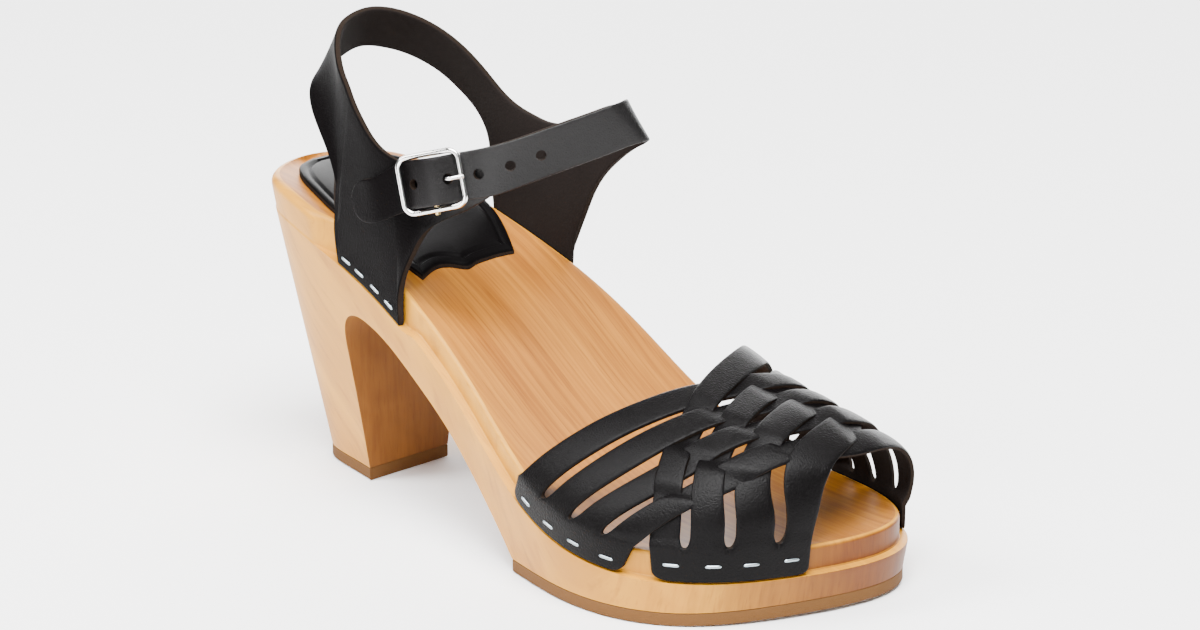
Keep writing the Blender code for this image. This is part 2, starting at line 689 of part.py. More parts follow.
def make_heel_piece(leather):
    sheet = heel_sheet()
    piece = grid_object("upper_heel", [list(sheet)], leather)
    solidify(piece, LEATHER)
    bm = bmesh.new()
    for centre, normal in strap_holes(sheet):
        turn = normal.to_track_quat("Z", "Y").to_matrix().to_4x4()
        bmesh.ops.create_cone(bm, cap_ends=True, segments=12, radius1=STRAP_HOLE / 2 * MM,
                              radius2=STRAP_HOLE / 2 * MM, depth=PUNCH_DEPTH * MM,
                              matrix=Matrix.Translation(centre * MM) @ turn)
    boolean(piece, add_object("hole_punches", bm))


# Buckle

def make_buckle(metal):
    half_w, half_h = BUCKLE_SIZE[0] / 2, BUCKLE_SIZE[1] / 2
    path = []
    for quarter, (sign_w, sign_h) in enumerate(((1, 1), (-1, 1), (-1, -1), (1, -1))):
        for turn in np.linspace(0, 1, CORNER_STEPS):
            angle = (quarter + turn) * math.pi / 2
            w = sign_w * (half_w - BUCKLE_CORNER) + BUCKLE_CORNER * math.cos(angle)
            h = sign_h * (half_h - BUCKLE_CORNER) + BUCKLE_CORNER * math.sin(angle)
            path.append(buckle_point(w, 0, h))
    wire("buckle_frame", path, BUCKLE_WIRE, True, metal)
    reach = half_h - BUCKLE_WIRE / 2 - GAP
    wire("buckle_bar", [buckle_point(0, 0, -reach), buckle_point(0, 0, reach)], BUCKLE_WIRE, False, metal)
    wire("buckle_prong", [buckle_point(w, d) for w, d in PRONG_PATH], PRONG_WIRE, False, metal)


clear_scene()
PARTS = new_collection("clog_sandal")
CUTTERS = new_collection("cutters")
SHOE = bpy.data.objects.new("clog_sandal", None)
SHOE.location = (-PLAN_CENTRE[0] * MM, -PLAN_CENTRE[1] * MM, 0)
PARTS.objects.link(SHOE)

BLACK_LEATHER = material("black_leather", (0.018, 0.017, 0.017), 0.45)
NICKEL = material("nickel", (0.80, 0.79, 0.77), 0.18, 1.0)
make_sole(material("alder_wood", (0.72, 0.48, 0.26), 0.5))
make_rubber(material("tan_rubber", (0.33, 0.19, 0.09), 0.75))
make_pad(BLACK_LEATHER)
make_vamp(BLACK_LEATHER)
make_heel_piece(BLACK_LEATHER)
make_buckle(NICKEL)
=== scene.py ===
"""Looks of the clog sandal: finer wood, woven leather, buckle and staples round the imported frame.

Tables are in millimetres, in the maker's frame: X from the back of the heel to the toe, Y from the heel's
middle line to the inner side of the foot, Z up from the floor. PLAN_CENTRE moves them to the row frame.
"""
import math

import bmesh
import bpy
import numpy as np
from mathutils import Matrix, Vector


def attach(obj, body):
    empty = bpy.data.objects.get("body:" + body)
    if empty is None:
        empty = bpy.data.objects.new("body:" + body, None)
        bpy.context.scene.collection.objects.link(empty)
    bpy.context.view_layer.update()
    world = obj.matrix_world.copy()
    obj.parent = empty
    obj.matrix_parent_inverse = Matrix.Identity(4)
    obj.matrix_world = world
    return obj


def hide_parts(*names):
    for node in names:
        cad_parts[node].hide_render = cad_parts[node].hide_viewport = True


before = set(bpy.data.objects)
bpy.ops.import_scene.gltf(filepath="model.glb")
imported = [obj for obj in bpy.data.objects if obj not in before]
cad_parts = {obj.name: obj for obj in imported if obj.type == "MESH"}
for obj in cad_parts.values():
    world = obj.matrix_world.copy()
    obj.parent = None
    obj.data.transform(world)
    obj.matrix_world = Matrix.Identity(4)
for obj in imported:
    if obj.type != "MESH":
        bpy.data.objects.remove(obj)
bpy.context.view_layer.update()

# Sizes in millimetres; a range in X is along the shoe, a range in T a share across the vamp
MM = 0.001
PLAN_CENTRE = np.array((115.87, 3.98, 0.0))
GAP = 0.3
LATERAL, MEDIAL = -1, 1

RUBBER = 3.9
SOLE_BASE = RUBBER + 0.1
TOE_SPRING = 0.8
TOE_SPRING_X = (200.0, 228.0)
LEDGE_HEIGHT = 7.4
LEDGE_DEPTH = 2.6
LEDGE_DIP = 2.6
LEDGE_DIP_X = (85.4, 92.0)
LEDGE_RUN_OUT_X = (40.0, 50.0)
LEDGE_LEAST = 0.1
EDGE_ROUND = 1.2
HEEL_EDGE_ROUND = 3.2
FOOTBED_DISH = 1.6
FOOTBED_INSET = 2.3
HEEL_FRONT_X = 52.4
OUTSOLE_REAR_X = 139.5
SAW_X = (-40.0, 260.0)
SAW_Y = (-80.0, 80.0)
SAW_Z = (-10.0, 10.0)
ARCH_SAW_BASE = -20.0

LEATHER = 2.0
EDGE_SOFT = 0.8
EDGE_LEFT = 0.62
EDGE_STEPS = (0, 0.06, 0.18, 0.4, 0.8)
PAD = 1.9
PAD_GAP = 0.2
PAD_EVENING = 10
PAD_CENTRE = (45.0, 1.0)
WEAVE = 0.68
VAMP_LEATHER = 1.4
THINNING_T = (0.0, 0.06)
CROWN_EVENING = 24
CROWN_REACH_T = (0.08, 0.2)
STRIPS = 4
STRIP_COLUMNS = (0.2, 0.35, 0.5, 0.65, 0.8)
STRIP_DOME = 0.18
DOME_RISE_T = (0.0, 0.1)
SLIT_SHARE = 0.25
SLIT_START = 0.018
SLIT_ROUND = 0.04
LIFT_HOLD = 0.28
LIFT_CLEAR = 0.07
LIFT_RUN = 0.12
BULGE_RISE = 0.7
TOE_BUNCH = 0.36
TOE_BUNCH_T = (0.05, 0.4)
RIM_STAND = 1.0
TAB_HEIGHT = 7.0
TAB_RATE = 155.0
TAB_END = TAB_HEIGHT / TAB_RATE
TAB_FALL = TAB_RATE + RIM_STAND / TAB_END
TAB_CORNER = 2.2
LEDGE_CLEAR = 0.05

STRAP_HOLE = 3.2
HOLE_PITCH = 9.8
STAPLE_LENGTH = 4.7
STAPLE_WIRE = 1.0
STAPLE_HEIGHT = 2.9
STAPLE_LEG = 1.6
STAPLE_SUNK = 0.15
REAR_TAB_STAPLES = 0.62
FRONT_TAB_STAPLES = 0.42
VAMP_STAPLES = (0.13, 0.38, 0.62, 0.87)
QUARTER_STAPLES = (0.14, 0.34, 0.6, 0.83)
BUCKLE_SIZE = (18.4, 16.6)
BUCKLE_CORNER = 3.0
BUCKLE_WIRE = 1.7
BUCKLE_CENTRE = (95.7, -27.6, 107.3)
BUCKLE_HEADING = math.radians(37.6)
BUCKLE_TILT = math.radians(13)
BUCKLE_LEAN = math.radians(-14)
BUCKLE_STRAP = 14.2
STRAP_UNDER = 0.5
STRAP_OVER = 0.1
PRONG_WIRE = 1.3
BAR_WIRE = 0.9 * BUCKLE_WIRE
BAR_BEHIND = -1.0
BAR_PAST = 1.5

# Steps of the meshes
OUTLINE_STEPS = 14
HALF_STEPS = 24
WALL_SHARES = (0.2, 0.4, 0.6, 0.8, 1.0)
ROUND_STEPS = 6
BED_STEPS = 28
PAD_SIDE_STEPS = 60
PAD_FRONT_STEPS = 50
PAD_BACK_STEPS = 9
PAD_CROWDING = 1.8
PAD_PULL = 4
PAD_SHARES = (0.8, 0.6, 0.4, 0.2, 0.0)
TAB_STEPS = (0, 0.02, 0.06, 0.12, 0.2, 0.3, 0.5, 0.75, 1)
SLIT_STEPS = 13
WEAVE_MIDDLE = (0.066, 0.934, 130)
CROSSING_SEARCH = (0.05, 0.98, 500)
NORMAL_STEP_T = 0.004
NORMAL_STEP_X = 0.5
LINE_STEPS = 80
HOLE_SIDES = 28
PUNCH_DEPTH = 1.7
CORNER_STEPS = 8
BAR_STEPS = 5
PRONG_STEPS = 6
STAPLE_TURNS = 5
WIRE_SIDES = 12
FRAME_SIDES = 20
STAPLE_SIDES = 10
WELD = 0.002

# Angles in degrees past which an edge stays sharp
PLAIN_ANGLE = 40
SOLE_ANGLE = 32
LEATHER_ANGLE = 50
WIRE_ANGLE = 60

# Material places in the pieces that have several
WALL, BED, SAWN = 0, 1, 2
OUTSIDE, CUT_EDGE, LINED = 0, 1, 2

# Plan of the sole: wall top x, wall top y, floor x, floor y
HEEL_BACK = (1.5, 1.0, 22.0, 0.5)
TOE_TIP = (229.8, 24.0, 228.0, 24.0)
LATERAL_ROWS = [
    (5.5, -12.5, 23.0, -5.0), (14.5, -22.5, 27.0, -9.5), (32.0, -28.8, 36.0, -12.6),
    (58.0, -31.2, 54.0, -16.5), (90.0, -32.8, 92.0, -27.0), (118.0, -36.0, 119.0, -32.0),
    (145.0, -41.8, 145.0, -38.0), (170.0, -44.8, 169.5, -42.2), (192.0, -41.5, 191.0, -39.0),
    (209.8, -29.0, 207.5, -27.5), (222.0, -8.0, 219.5, -7.5)]
MEDIAL_ROWS = [
    (5.5, 14.5, 23.0, 6.0), (14.5, 24.0, 27.0, 10.5), (32.0, 29.8, 36.0, 13.2),
    (58.0, 32.2, 54.0, 16.5), (90.0, 37.8, 92.0, 31.0), (118.0, 43.8, 119.0, 40.0),
    (145.0, 47.4, 145.0, 44.0), (170.0, 51.2, 169.5, 48.2), (192.0, 52.8, 191.0, 49.8),
    (210.0, 50.6, 208.5, 48.0), (224.0, 42.2, 222.3, 41.0)]

# Side profile of the footbed's rim: x, z
RIM = [(0, 91.2), (27, 90.1), (45, 86.2), (62, 81), (86.5, 70), (104.5, 59.2), (126.5, 44), (145, 33),
       (160, 27), (175, 23.8), (195, 21.8), (230, 20.4)]

# Arch sawn across the sole, from the heel's front face to the forefoot: x, z
ARCH = [(HEEL_FRONT_X, 0), (52.1, 25), (51.4, 42), (51.6, 50), (54.4, 55.4), (60, 57.5), (68, 56.4),
        (78, 52.6), (91, 45.3), (106, 35.5), (122, 21.6), (135, 8.8), (141.5, 1)]

# Steps of the ledge under the rim: share of its depth, inset, drop below the ledge
LEDGE_STEPS = [(1, 0, -0.4), (1, -0.3, 0), (0, 0.4, 0.32), (0, 0.1, 0.4), (0, 0, 0.8)]

# Rubber, from its top to the floor: inset, height
RUBBER_STEPS = [(0.25, RUBBER), (0, RUBBER - 0.25), (0, 0.5), (0.15, 0.15), (0.5, 0)]

# Heel pad: x, lateral y, medial y; then its scalloped front edge: share across, x
PAD_ROWS = [(10, -1.6, 3.6), (12, -6.2, 8.4), (16.5, -12, 14.4), (24, -16.8, 19.2), (34, -20.3, 22.5),
            (46, -23, 24.8), (58, -23.5, 26), (68, -22, 24.2), (80, -19, 18.6)]
PAD_FRONT = [(0, 81.5), (0.12, 79.6), (0.28, 78.4), (0.41, 80), (0.49, 81.3), (0.57, 80.7),
             (0.7, 80.2), (0.86, 80.3), (1, 81)]

# Section of the heel pad, with a pressed line inside its edge: inset, height past its thickness
PAD_PROFILE = [(0, -PAD), (0, -0.7), (0.2, -0.3), (0.6, 0), (2.2, 0.1), (2.7, -0.45), (3.1, -0.55),
               (3.5, -0.45), (4.0, 0), (4.6, 0.1)]

# Vamp sections over the last: x, crown y, crown z, lateral fullness, medial fullness, medial bulge
VAMP_ROWS = [(140, 22, 70, 1.62, 1.9, 0), (165, 24, 64.3, 1.68, 1.55, 0), (190, 24.5, 56.4, 1.8, 1.4, 0),
             (207, 24, 52.3, 2.0, 1.55, 0.8), (220, 23, 45.7, 2.3, 2.1, 4.8), (227, 23, 41, 2.4, 2.8, 4.7)]

# Rear and front edge of the two woven pieces: share across the foot, A rear, A front, B rear, B front
WEAVE_ROWS = [(0, 147, 192.4, 197, 223.2), (0.1, 153, 200.5, 195, 223.6), (0.2, 160.8, 210, 189.5, 223.4),
              (0.3, 169, 215, 182.3, 222.7), (0.4, 177.5, 220.5, 175.3, 221.5),
              (0.5, 186, 223, 171.8, 219.6), (0.7, 186.8, 222, 164, 207), (1, 185, 219.5, 151.5, 183)]

# Feet of the two quarters on the ledge: name, side, rear x, front x
QUARTER_FEET = [("quarter_lateral", LATERAL, 54.4, 84.4), ("quarter_medial", MEDIAL, 61.5, 87.6)]

# Prong of the buckle: place along the strap, place out from the foot
PRONG_PATH = [(1.9, -1.2), (3.1, -0.7), (4.2, 0.6), (5.3, 2.1), (6.7, 2.4), (8.9, 1.6), (9.9, 1.0)]
PRONG_HOLE = PRONG_PATH[2]


# Curves

def natural_cubic(knots, values):
    """Natural cubic spline through rows of values, as a function of the knot parameter."""
    t = np.asarray(knots, float)
    q = np.asarray(values, float).reshape(len(t), -1)
    h = np.diff(t)
    system = np.eye(len(t))
    right = np.zeros_like(q)
    for i in range(1, len(t) - 1):
        system[i, i - 1:i + 2] = h[i - 1], 2 * (h[i - 1] + h[i]), h[i]
        right[i] = 6 * ((q[i + 1] - q[i]) / h[i] - (q[i] - q[i - 1]) / h[i - 1])
    bend = np.linalg.solve(system, right)

    def at(u):
        u = np.asarray(u, float)
        k = np.clip(np.searchsorted(t, u, side="right") - 1, 0, len(t) - 2)
        w = ((u - t[k]) / h[k])[..., None]
        v = 1 - w
        curve = ((v**3 - v) * bend[k] + (w**3 - w) * bend[k + 1]) * (h[k]**2)[..., None] / 6
        return v * q[k] + w * q[k + 1] + curve
    return at


def spline_of(rows):
    """Spline through the rows of a table, whose first column holds the knots."""
    return natural_cubic([row[0] for row in rows], [row[1:] for row in rows])


def curve_through(rows, steps, closed=False):
    """Smooth curve through the rows, with the given number of steps in each span."""
    q = np.asarray(rows, float)
    first, last = 0, len(q) - 1
    if closed:
        q = np.vstack([q[-3:], q, q[:4]])
        first, last = 3, 3 + len(rows)
    chords = np.linalg.norm(np.diff(q, axis=0), axis=1)
    t = np.concatenate([[0], np.cumsum(np.sqrt(chords))])
    spans = [np.linspace(t[k], t[k + 1], steps, endpoint=False) for k in range(first, last)]
    u = np.concatenate(spans)
    if not closed:
        u = np.append(u, t[last])
    return natural_cubic(t, q)(u)


def broken_curve(rows, steps, corners):
    """Curve through the rows that keeps the named rows as sharp corners."""
    marks = [0, *corners, len(rows) - 1]
    runs = [curve_through(rows[a:b + 1], steps) for a, b in zip(marks, marks[1:])]
    return np.vstack([runs[0]] + [run[1:] for run in runs[1:]])


def smooth_step(low, high, value):
    u = np.clip((np.asarray(value, float) - low) / (high - low), 0, 1)
    return u * u * (3 - 2 * u)


def unit(vectors):
    return vectors / np.maximum(np.linalg.norm(vectors, axis=-1, keepdims=True), 1e-9)


def plan_normals(line):
    """Outward normals in plan of a closed line that runs from the heel along the lateral side."""
    tangent = np.roll(line, -1, axis=0) - np.roll(line, 1, axis=0)
    return unit(np.stack([tangent[:, 1], -tangent[:, 0]], axis=1))


RIM_CURVE = spline_of(RIM)


def rim_height(x):
    return RIM_CURVE(x)[..., 0]


def sole_outline(steps):
    return curve_through([HEEL_BACK, *LATERAL_ROWS, TOE_TIP, *MEDIAL_ROWS[::-1]], steps, closed=True)


def wall_line(outline, drop):
    """Plan points of the outer wall at a drop below the rim, and its outward normals."""
    top, floor = outline[:, :2], outline[:, 2:]
    line = top + (floor - top) * (drop / rim_height(top[:, 0]))[:, None]
    return line, plan_normals(line)


def ledge_drop(x):
    """Height of the routed wall between the rim and the ledge, which is taller beside the quarters."""
    return LEDGE_HEIGHT + LEDGE_DIP * (1 - smooth_step(*LEDGE_DIP_X, x))


def leather_half(side):
    """Plan line of the middle of the leather that stands on the ledge, on one side of the shoe."""
    outline = sole_outline(HALF_STEPS)
    line, normal = wall_line(outline, ledge_drop(outline[:, 0]))
    line = line - normal * LEATHER / 2
    toe = HALF_STEPS * (1 + len(LATERAL_ROWS))
    half = line[:toe + 1] if side == LATERAL else np.vstack([line[:1], line[:toe - 1:-1]])
    return half[:np.argmax(half[:, 0]) + 1]


LEATHER_HALF = {side: leather_half(side) for side in (LATERAL, MEDIAL)}


def leather_y(side, x):
    half = LEATHER_HALF[side]
    return np.interp(x, half[:, 0], half[:, 1])


def on_ledge(side, x):
    """Lower edge of the leather, just clear of the ledge."""
    return (x, float(leather_y(side, x)), float(rim_height(x) - ledge_drop(x)) + LEDGE_CLEAR)


# Materials: noise in cells per metre, ramps by the places of their ends

WHITE = (1, 1, 1)
GRAIN_DIP = math.radians(30)
BAND_CELLS = (8, 60, 45)
BAND_ENDS = (0.3, 0.72)
STREAK_ENDS = (0.36, 0.6)
FLECK_ENDS = (0.3, 0.44)
PORES_FINER = np.array((4, 2.5, 2.5))
SHADE_SHARES = (1.0, 1.2, 1.4)
PORE_BUMP = 0.06
WOOD_SHINE = 0.22
LEATHER_CELLS = (2000, 2000, 2000)
BUMP_DEPTH = 0.0004


def principled(name, colour, roughness, metallic=0.0):
    made = bpy.data.materials.new(name)
    made.use_nodes = True
    shader = made.node_tree.nodes["Principled BSDF"]
    shader.inputs["Base Color"].default_value = (*colour, 1.0)
    shader.inputs["Roughness"].default_value = roughness
    shader.inputs["Metallic"].default_value = metallic
    return made


def noise(tree, cells, detail, distortion, dip=0.0):
    """Noise over the object's own place, with cells per metre along X, Y and Z; X may dip to the toe."""
    place = tree.nodes.new("ShaderNodeTexCoord")
    turn = tree.nodes.new("ShaderNodeMapping")
    turn.inputs["Rotation"].default_value = (0.0, -dip, 0.0)
    scale = tree.nodes.new("ShaderNodeMapping")
    scale.inputs["Scale"].default_value = cells
    texture = tree.nodes.new("ShaderNodeTexNoise")
    texture.inputs["Scale"].default_value = 1.0
    texture.inputs["Detail"].default_value = detail
    texture.inputs["Distortion"].default_value = distortion
    tree.links.new(place.outputs["Object"], turn.inputs["Vector"])
    tree.links.new(turn.outputs["Vector"], scale.inputs["Vector"])
    tree.links.new(scale.outputs["Vector"], texture.inputs["Vector"])
    return texture.outputs["Fac"]


def ramp(tree, source, ends, colours):
    """Two colours along a value, between the places of its two ends."""
    node = tree.nodes.new("ShaderNodeValToRGB")
    for element, end, colour in zip(node.color_ramp.elements, ends, colours):
        element.position = end
        element.color = (*colour, 1.0)
    tree.links.new(source, node.inputs["Fac"])
    return node.outputs["Color"]


def multiply(tree, first, second):
    node = tree.nodes.new("ShaderNodeMix")
    node.data_type = "RGBA"
    node.blend_type = "MULTIPLY"
    node.inputs["Factor"].default_value = 1.0
    tree.links.new(first, node.inputs["A"])
    tree.links.new(second, node.inputs["B"])
    return node.outputs["Result"]


def bump(material, height, strength):
    tree = material.node_tree
    node = tree.nodes.new("ShaderNodeBump")
    node.inputs["Strength"].default_value = strength
    node.inputs["Distance"].default_value = BUMP_DEPTH
    tree.links.new(height, node.inputs["Height"])
    tree.links.new(node.outputs["Normal"], tree.nodes["Principled BSDF"].inputs["Normal"])


def wood(name, pale, deep, roughness, fine, contrast):
    """Alder: fine streaks along the grain, with cells per metre `fine`, over broad soft bands."""
    made = principled(name, pale, roughness)
    tree = made.node_tree
    tree.nodes["Principled BSDF"].inputs["Specular IOR Level"].default_value = WOOD_SHINE
    shade = tuple(1 - contrast * share for share in SHADE_SHARES)
    broad = noise(tree, BAND_CELLS, detail=2.0, distortion=0.8, dip=GRAIN_DIP)
    narrow = noise(tree, fine, detail=4.0, distortion=0.2, dip=GRAIN_DIP)
    pores = noise(tree, tuple(PORES_FINER * fine), detail=2.0, distortion=0.0, dip=GRAIN_DIP)
    bands = ramp(tree, broad, BAND_ENDS, (pale, deep))
    streaks = ramp(tree, narrow, STREAK_ENDS, (shade, WHITE))
    flecks = ramp(tree, pores, FLECK_ENDS, (shade, WHITE))
    colour = multiply(tree, multiply(tree, bands, streaks), flecks)
    tree.links.new(colour, tree.nodes["Principled BSDF"].inputs["Base Color"])
    bump(made, pores, PORE_BUMP)
    return made


def end_grain_and_painted_shade(material, tone, facing, ends):
    """Browner where a wall faces a direction at the toe: end grain cut across, and painted shade on the
    side away from the lights.
    """
    tree = material.node_tree
    base = tree.nodes["Principled BSDF"].inputs["Base Color"]
    colour = base.links[0].from_socket
    place = tree.nodes.new("ShaderNodeTexCoord")
    turned = tree.nodes.new("ShaderNodeVectorMath")
    turned.operation = "DOT_PRODUCT"
    turned.inputs[1].default_value = facing
    tree.links.new(place.outputs["Normal"], turned.inputs[0])
    shade = ramp(tree, turned.outputs["Value"], ends, (WHITE, tone))
    tree.links.new(multiply(tree, colour, shade), base)


def leather(name, colour, roughness, grain, shine=0.5):
    made = principled(name, colour, roughness)
    tree = made.node_tree
    tree.nodes["Principled BSDF"].inputs["Specular IOR Level"].default_value = shine
    bump(made, noise(tree, LEATHER_CELLS, detail=3.0, distortion=0.4), grain)
    return made


def burnish(material, x_range, shine_range):
    """Shine that changes along the shoe between two places, given in maker's X."""
    tree = material.node_tree
    place = tree.nodes.new("ShaderNodeTexCoord")
    split = tree.nodes.new("ShaderNodeSeparateXYZ")
    change = tree.nodes.new("ShaderNodeMapRange")
    change.interpolation_type = "SMOOTHSTEP"
    for end, x, shine in zip(("Min", "Max"), x_range, shine_range):
        change.inputs["From " + end].default_value = (x - PLAN_CENTRE[0]) * MM
        change.inputs["To " + end].default_value = shine
    tree.links.new(place.outputs["Object"], split.inputs["Vector"])
    tree.links.new(split.outputs["X"], change.inputs["Value"])
    tree.links.new(change.outputs["Result"], tree.nodes["Principled BSDF"].inputs["Specular IOR Level"])


WOOD_WALL = wood("alder_wall", pale=(0.53, 0.240, 0.015), deep=(0.43, 0.178, 0.009), roughness=0.45,
                 fine=(20, 520, 60), contrast=0.16)
# Painted shade: the toe's wall darkens where it faces forward and to the inner side, away from the lights,
# together with its browner end grain.
end_grain_and_painted_shade(WOOD_WALL, tone=(0.25, 0.155, 0.05), facing=(0.97, 0.24, 0.0), ends=(0.5, 0.9))
WOOD_BED = wood("alder_footbed", pale=(0.37, 0.143, 0.014), deep=(0.27, 0.093, 0.008), roughness=0.48,
                fine=(14, 700, 50), contrast=0.24)
WOOD_SAWN = wood("alder_sawn", pale=(0.20, 0.073, 0.009), deep=(0.145, 0.048, 0.005), roughness=0.6,
                 fine=(70, 600, 50), contrast=0.12)
RUBBER_TAN = leather("tan_rubber", (0.105, 0.045, 0.011), roughness=0.8, grain=0.35, shine=0.2)
BLACK = leather("black_leather", (0.0015, 0.0012, 0.0013), roughness=0.36, grain=0.5, shine=0.075)
BLACK_HEEL = leather("black_heel_leather", (0.0018, 0.0014, 0.0015), roughness=0.42, grain=0.5)
burnish(BLACK_HEEL, x_range=(88.0, 104.0), shine_range=(0.02, 0.26))
PAD_BLACK = leather("pad_leather", (0.0018, 0.0015, 0.0016), roughness=0.46, grain=0.14, shine=0.04)
RAW_EDGE = leather("raw_leather_edge", (0.012, 0.0075, 0.005), roughness=0.95, grain=0.9, shine=0.08)
LINING = leather("leather_lining", (0.0085, 0.0062, 0.0054), roughness=0.9, grain=0.5, shine=0.1)
NICKEL = principled("nickel", (0.82, 0.81, 0.79), roughness=0.13, metallic=1.0)
STEEL = principled("staple_steel", (0.34, 0.40, 0.43), roughness=0.33, metallic=1.0)
BRASS = principled("brass", (0.72, 0.50, 0.22), roughness=0.3, metallic=1.0)
FLOOR_WHITE = principled("floor", (0.93, 0.93, 0.93), roughness=0.9)


# Meshes

def new_object(name, points, faces, materials, indices=None, smooth_angle=PLAIN_ANGLE):
    """Object in the row frame from maker's points; faces may carry a material index each."""
    mesh = bpy.data.meshes.new(name)
    placed = (np.asarray(points) - PLAN_CENTRE) * MM
    mesh.from_pydata(placed.tolist(), [], [list(map(int, face)) for face in faces])
    for finish in materials:
        mesh.materials.append(finish)
    if indices is not None:
        mesh.polygons.foreach_set("material_index", np.asarray(indices, np.int32))
    mesh.update()
    obj = bpy.data.objects.new(name, mesh)
    bpy.context.scene.collection.objects.link(obj)
    soften(obj, smooth_angle)
    return obj


def soften(obj, angle):
    obj.data.shade_smooth()
    obj.data.set_sharp_from_angle(angle=math.radians(angle))


def weld(obj):
    bm = bmesh.new()
    bm.from_mesh(obj.data)
    bmesh.ops.remove_doubles(bm, verts=bm.verts, dist=WELD * MM)
    bmesh.ops.dissolve_degenerate(bm, edges=bm.edges, dist=WELD * MM)
    bmesh.ops.recalc_face_normals(bm, faces=bm.faces)
    bm.to_mesh(obj.data)
    bm.free()


def cut(obj, cutter, smooth_angle=PLAIN_ANGLE):
    """Cut one object out of another and keep the result as plain mesh."""
    modifier = obj.modifiers.new("cut", "BOOLEAN")
    modifier.operation = "DIFFERENCE"
    modifier.object = cutter
    modifier.material_mode = "INDEX"
    made = bpy.data.meshes.new_from_object(obj.evaluated_get(bpy.context.evaluated_depsgraph_get()))
    obj.modifiers.clear()
    old, obj.data = obj.data, made
    bpy.data.meshes.remove(old)
    bpy.data.objects.remove(cutter, do_unlink=True)
    soften(obj, smooth_angle)


def show(obj, slot, *nodes):
    """Piece that rides on the shoe and stands for CAD nodes, which it hides; its slot is not used."""
    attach(obj, "root")
    if nodes:
        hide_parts(*nodes)


def grid_faces(rows, columns, start=0, closed=False):
    """Quads of a grid of points; closed joins the last column to the first."""
    faces = []
    for i in range(rows - 1):
        for j in range(columns if closed else columns - 1):
            k = (j + 1) % columns
            a, b = start + i * columns, start + (i + 1) * columns
            faces.append((a + j, a + k, b + k, b + j))
    return faces


def box_object(name, x_range, y_range, z_range, finish):
    points = [(x, y, z) for x in x_range for y in y_range for z in z_range]
    faces = [(0, 1, 3, 2), (4, 6, 7, 5), (0, 4, 5, 1), (2, 3, 7, 6), (0, 2, 6, 4), (1, 5, 7, 3)]
    return new_object(name, points, faces, [finish])


def prism_object(name, profile, y_range, materials, index):
    """Closed outline in XZ drawn along Y, used as a saw."""
    count = len(profile)
    points = [(x, y, z) for y in y_range for x, z in profile]
    faces = [(i, (i + 1) % count, count + (i + 1) % count, count + i) for i in range(count)]
    faces += [tuple(range(count))[::-1], tuple(range(count, 2 * count))]
    obj = new_object(name, points, faces, materials, [index] * len(faces))
    weld(obj)
    return obj


def tube(name, points, diameter, finish, closed=False, sides=WIRE_SIDES):
    """Round wire along a smooth line, with its ends closed."""
    p = np.asarray(points, float)
    tangent = np.roll(p, -1, axis=0) - np.roll(p, 1, axis=0) if closed else np.gradient(p, axis=0)
    tangent = unit(tangent)
    guide = np.zeros_like(p)
    side = Vector(tangent[0]).orthogonal().normalized()
    for i, direction in enumerate(tangent):
        side = (side - Vector(direction) * side.dot(Vector(direction))).normalized()
        guide[i] = side
    other = np.cross(tangent, guide)
    angles = np.linspace(0, 2 * np.pi, sides, endpoint=False)
    ring = guide[:, None] * np.cos(angles)[:, None] + other[:, None] * np.sin(angles)[:, None]
    surface = (p[:, None] + ring * diameter / 2).reshape(-1, 3)
    rows = np.vstack([surface, surface[:sides]]) if closed else surface
    faces = grid_faces(len(rows) // sides, sides, closed=True)
    if not closed:
        faces += [tuple(range(sides))[::-1], tuple(range(len(rows) - sides, len(rows)))]
    obj = new_object(name, rows, faces, [finish], smooth_angle=WIRE_ANGLE)
    weld(obj)
    return obj


# Wooden sole and rubber

def toe_lift(x):
    return TOE_SPRING * smooth_step(*TOE_SPRING_X, x)


def sole_rings(outline):
    """Rings round the sole from the footbed's edge, over the ledge, to its base."""
    x = outline[:, 0]
    ledge = np.maximum(smooth_step(*LEDGE_RUN_OUT_X, x), LEDGE_LEAST)
    depth = LEDGE_DEPTH * ledge
    edge = EDGE_ROUND + (HEEL_EDGE_ROUND - EDGE_ROUND) * (1 - ledge)
    flat = np.zeros_like(x)
    ledge_height = ledge_drop(x)
    turns = np.radians(np.linspace(0, 90, ROUND_STEPS))
    levels = [(depth + edge * (1 - math.sin(a)), edge * (1 - math.cos(a))) for a in turns]
    levels += [(share * depth + inset * ledge, ledge_height + drop) for share, inset, drop in LEDGE_STEPS]
    foot, _ = wall_line(outline, ledge_height)
    rings = []
    for number, (inset, drop) in enumerate(levels):
        line, normal = wall_line(outline, drop)
        upright = line + (foot - line) * (ledge if number < len(levels) - 1 else flat)[:, None]
        plan = upright - normal * inset[:, None]
        rings.append(np.column_stack([plan, rim_height(x) - drop]))
    base = SOLE_BASE + toe_lift(outline[:, 2])
    start = rings[-1]
    for share in WALL_SHARES:
        floor = np.column_stack([outline[:, 2:], base])
        rings.append(start + (floor - start) * share)
    return rings


def span_ring(points, ring, steps, dish=0.0):
    """Points and faces that close a ring with lines from its lateral to its medial side."""
    count, half = len(ring), len(ring) // 2
    shares = np.linspace(0, 1, steps + 1)[1:-1]
    lines = [[ring[0]] * (steps + 1)]
    for k in range(1, half):
        near, far = points[ring[k]], points[ring[-k]]
        first = len(points)
        for s in shares:
            points.append(near + (far - near) * s - np.array((0, 0, 4 * s * (1 - s) * dish)))
        lines.append([ring[k], *range(first, len(points)), ring[count - k]])
    lines.append([ring[half]] * (steps + 1))
    faces = []
    for a, b in zip(lines, lines[1:]):
        for i in range(steps):
            corners = list(dict.fromkeys((a[i], a[i + 1], b[i + 1], b[i])))
            if len(corners) > 2:
                faces.append(corners)
    return faces


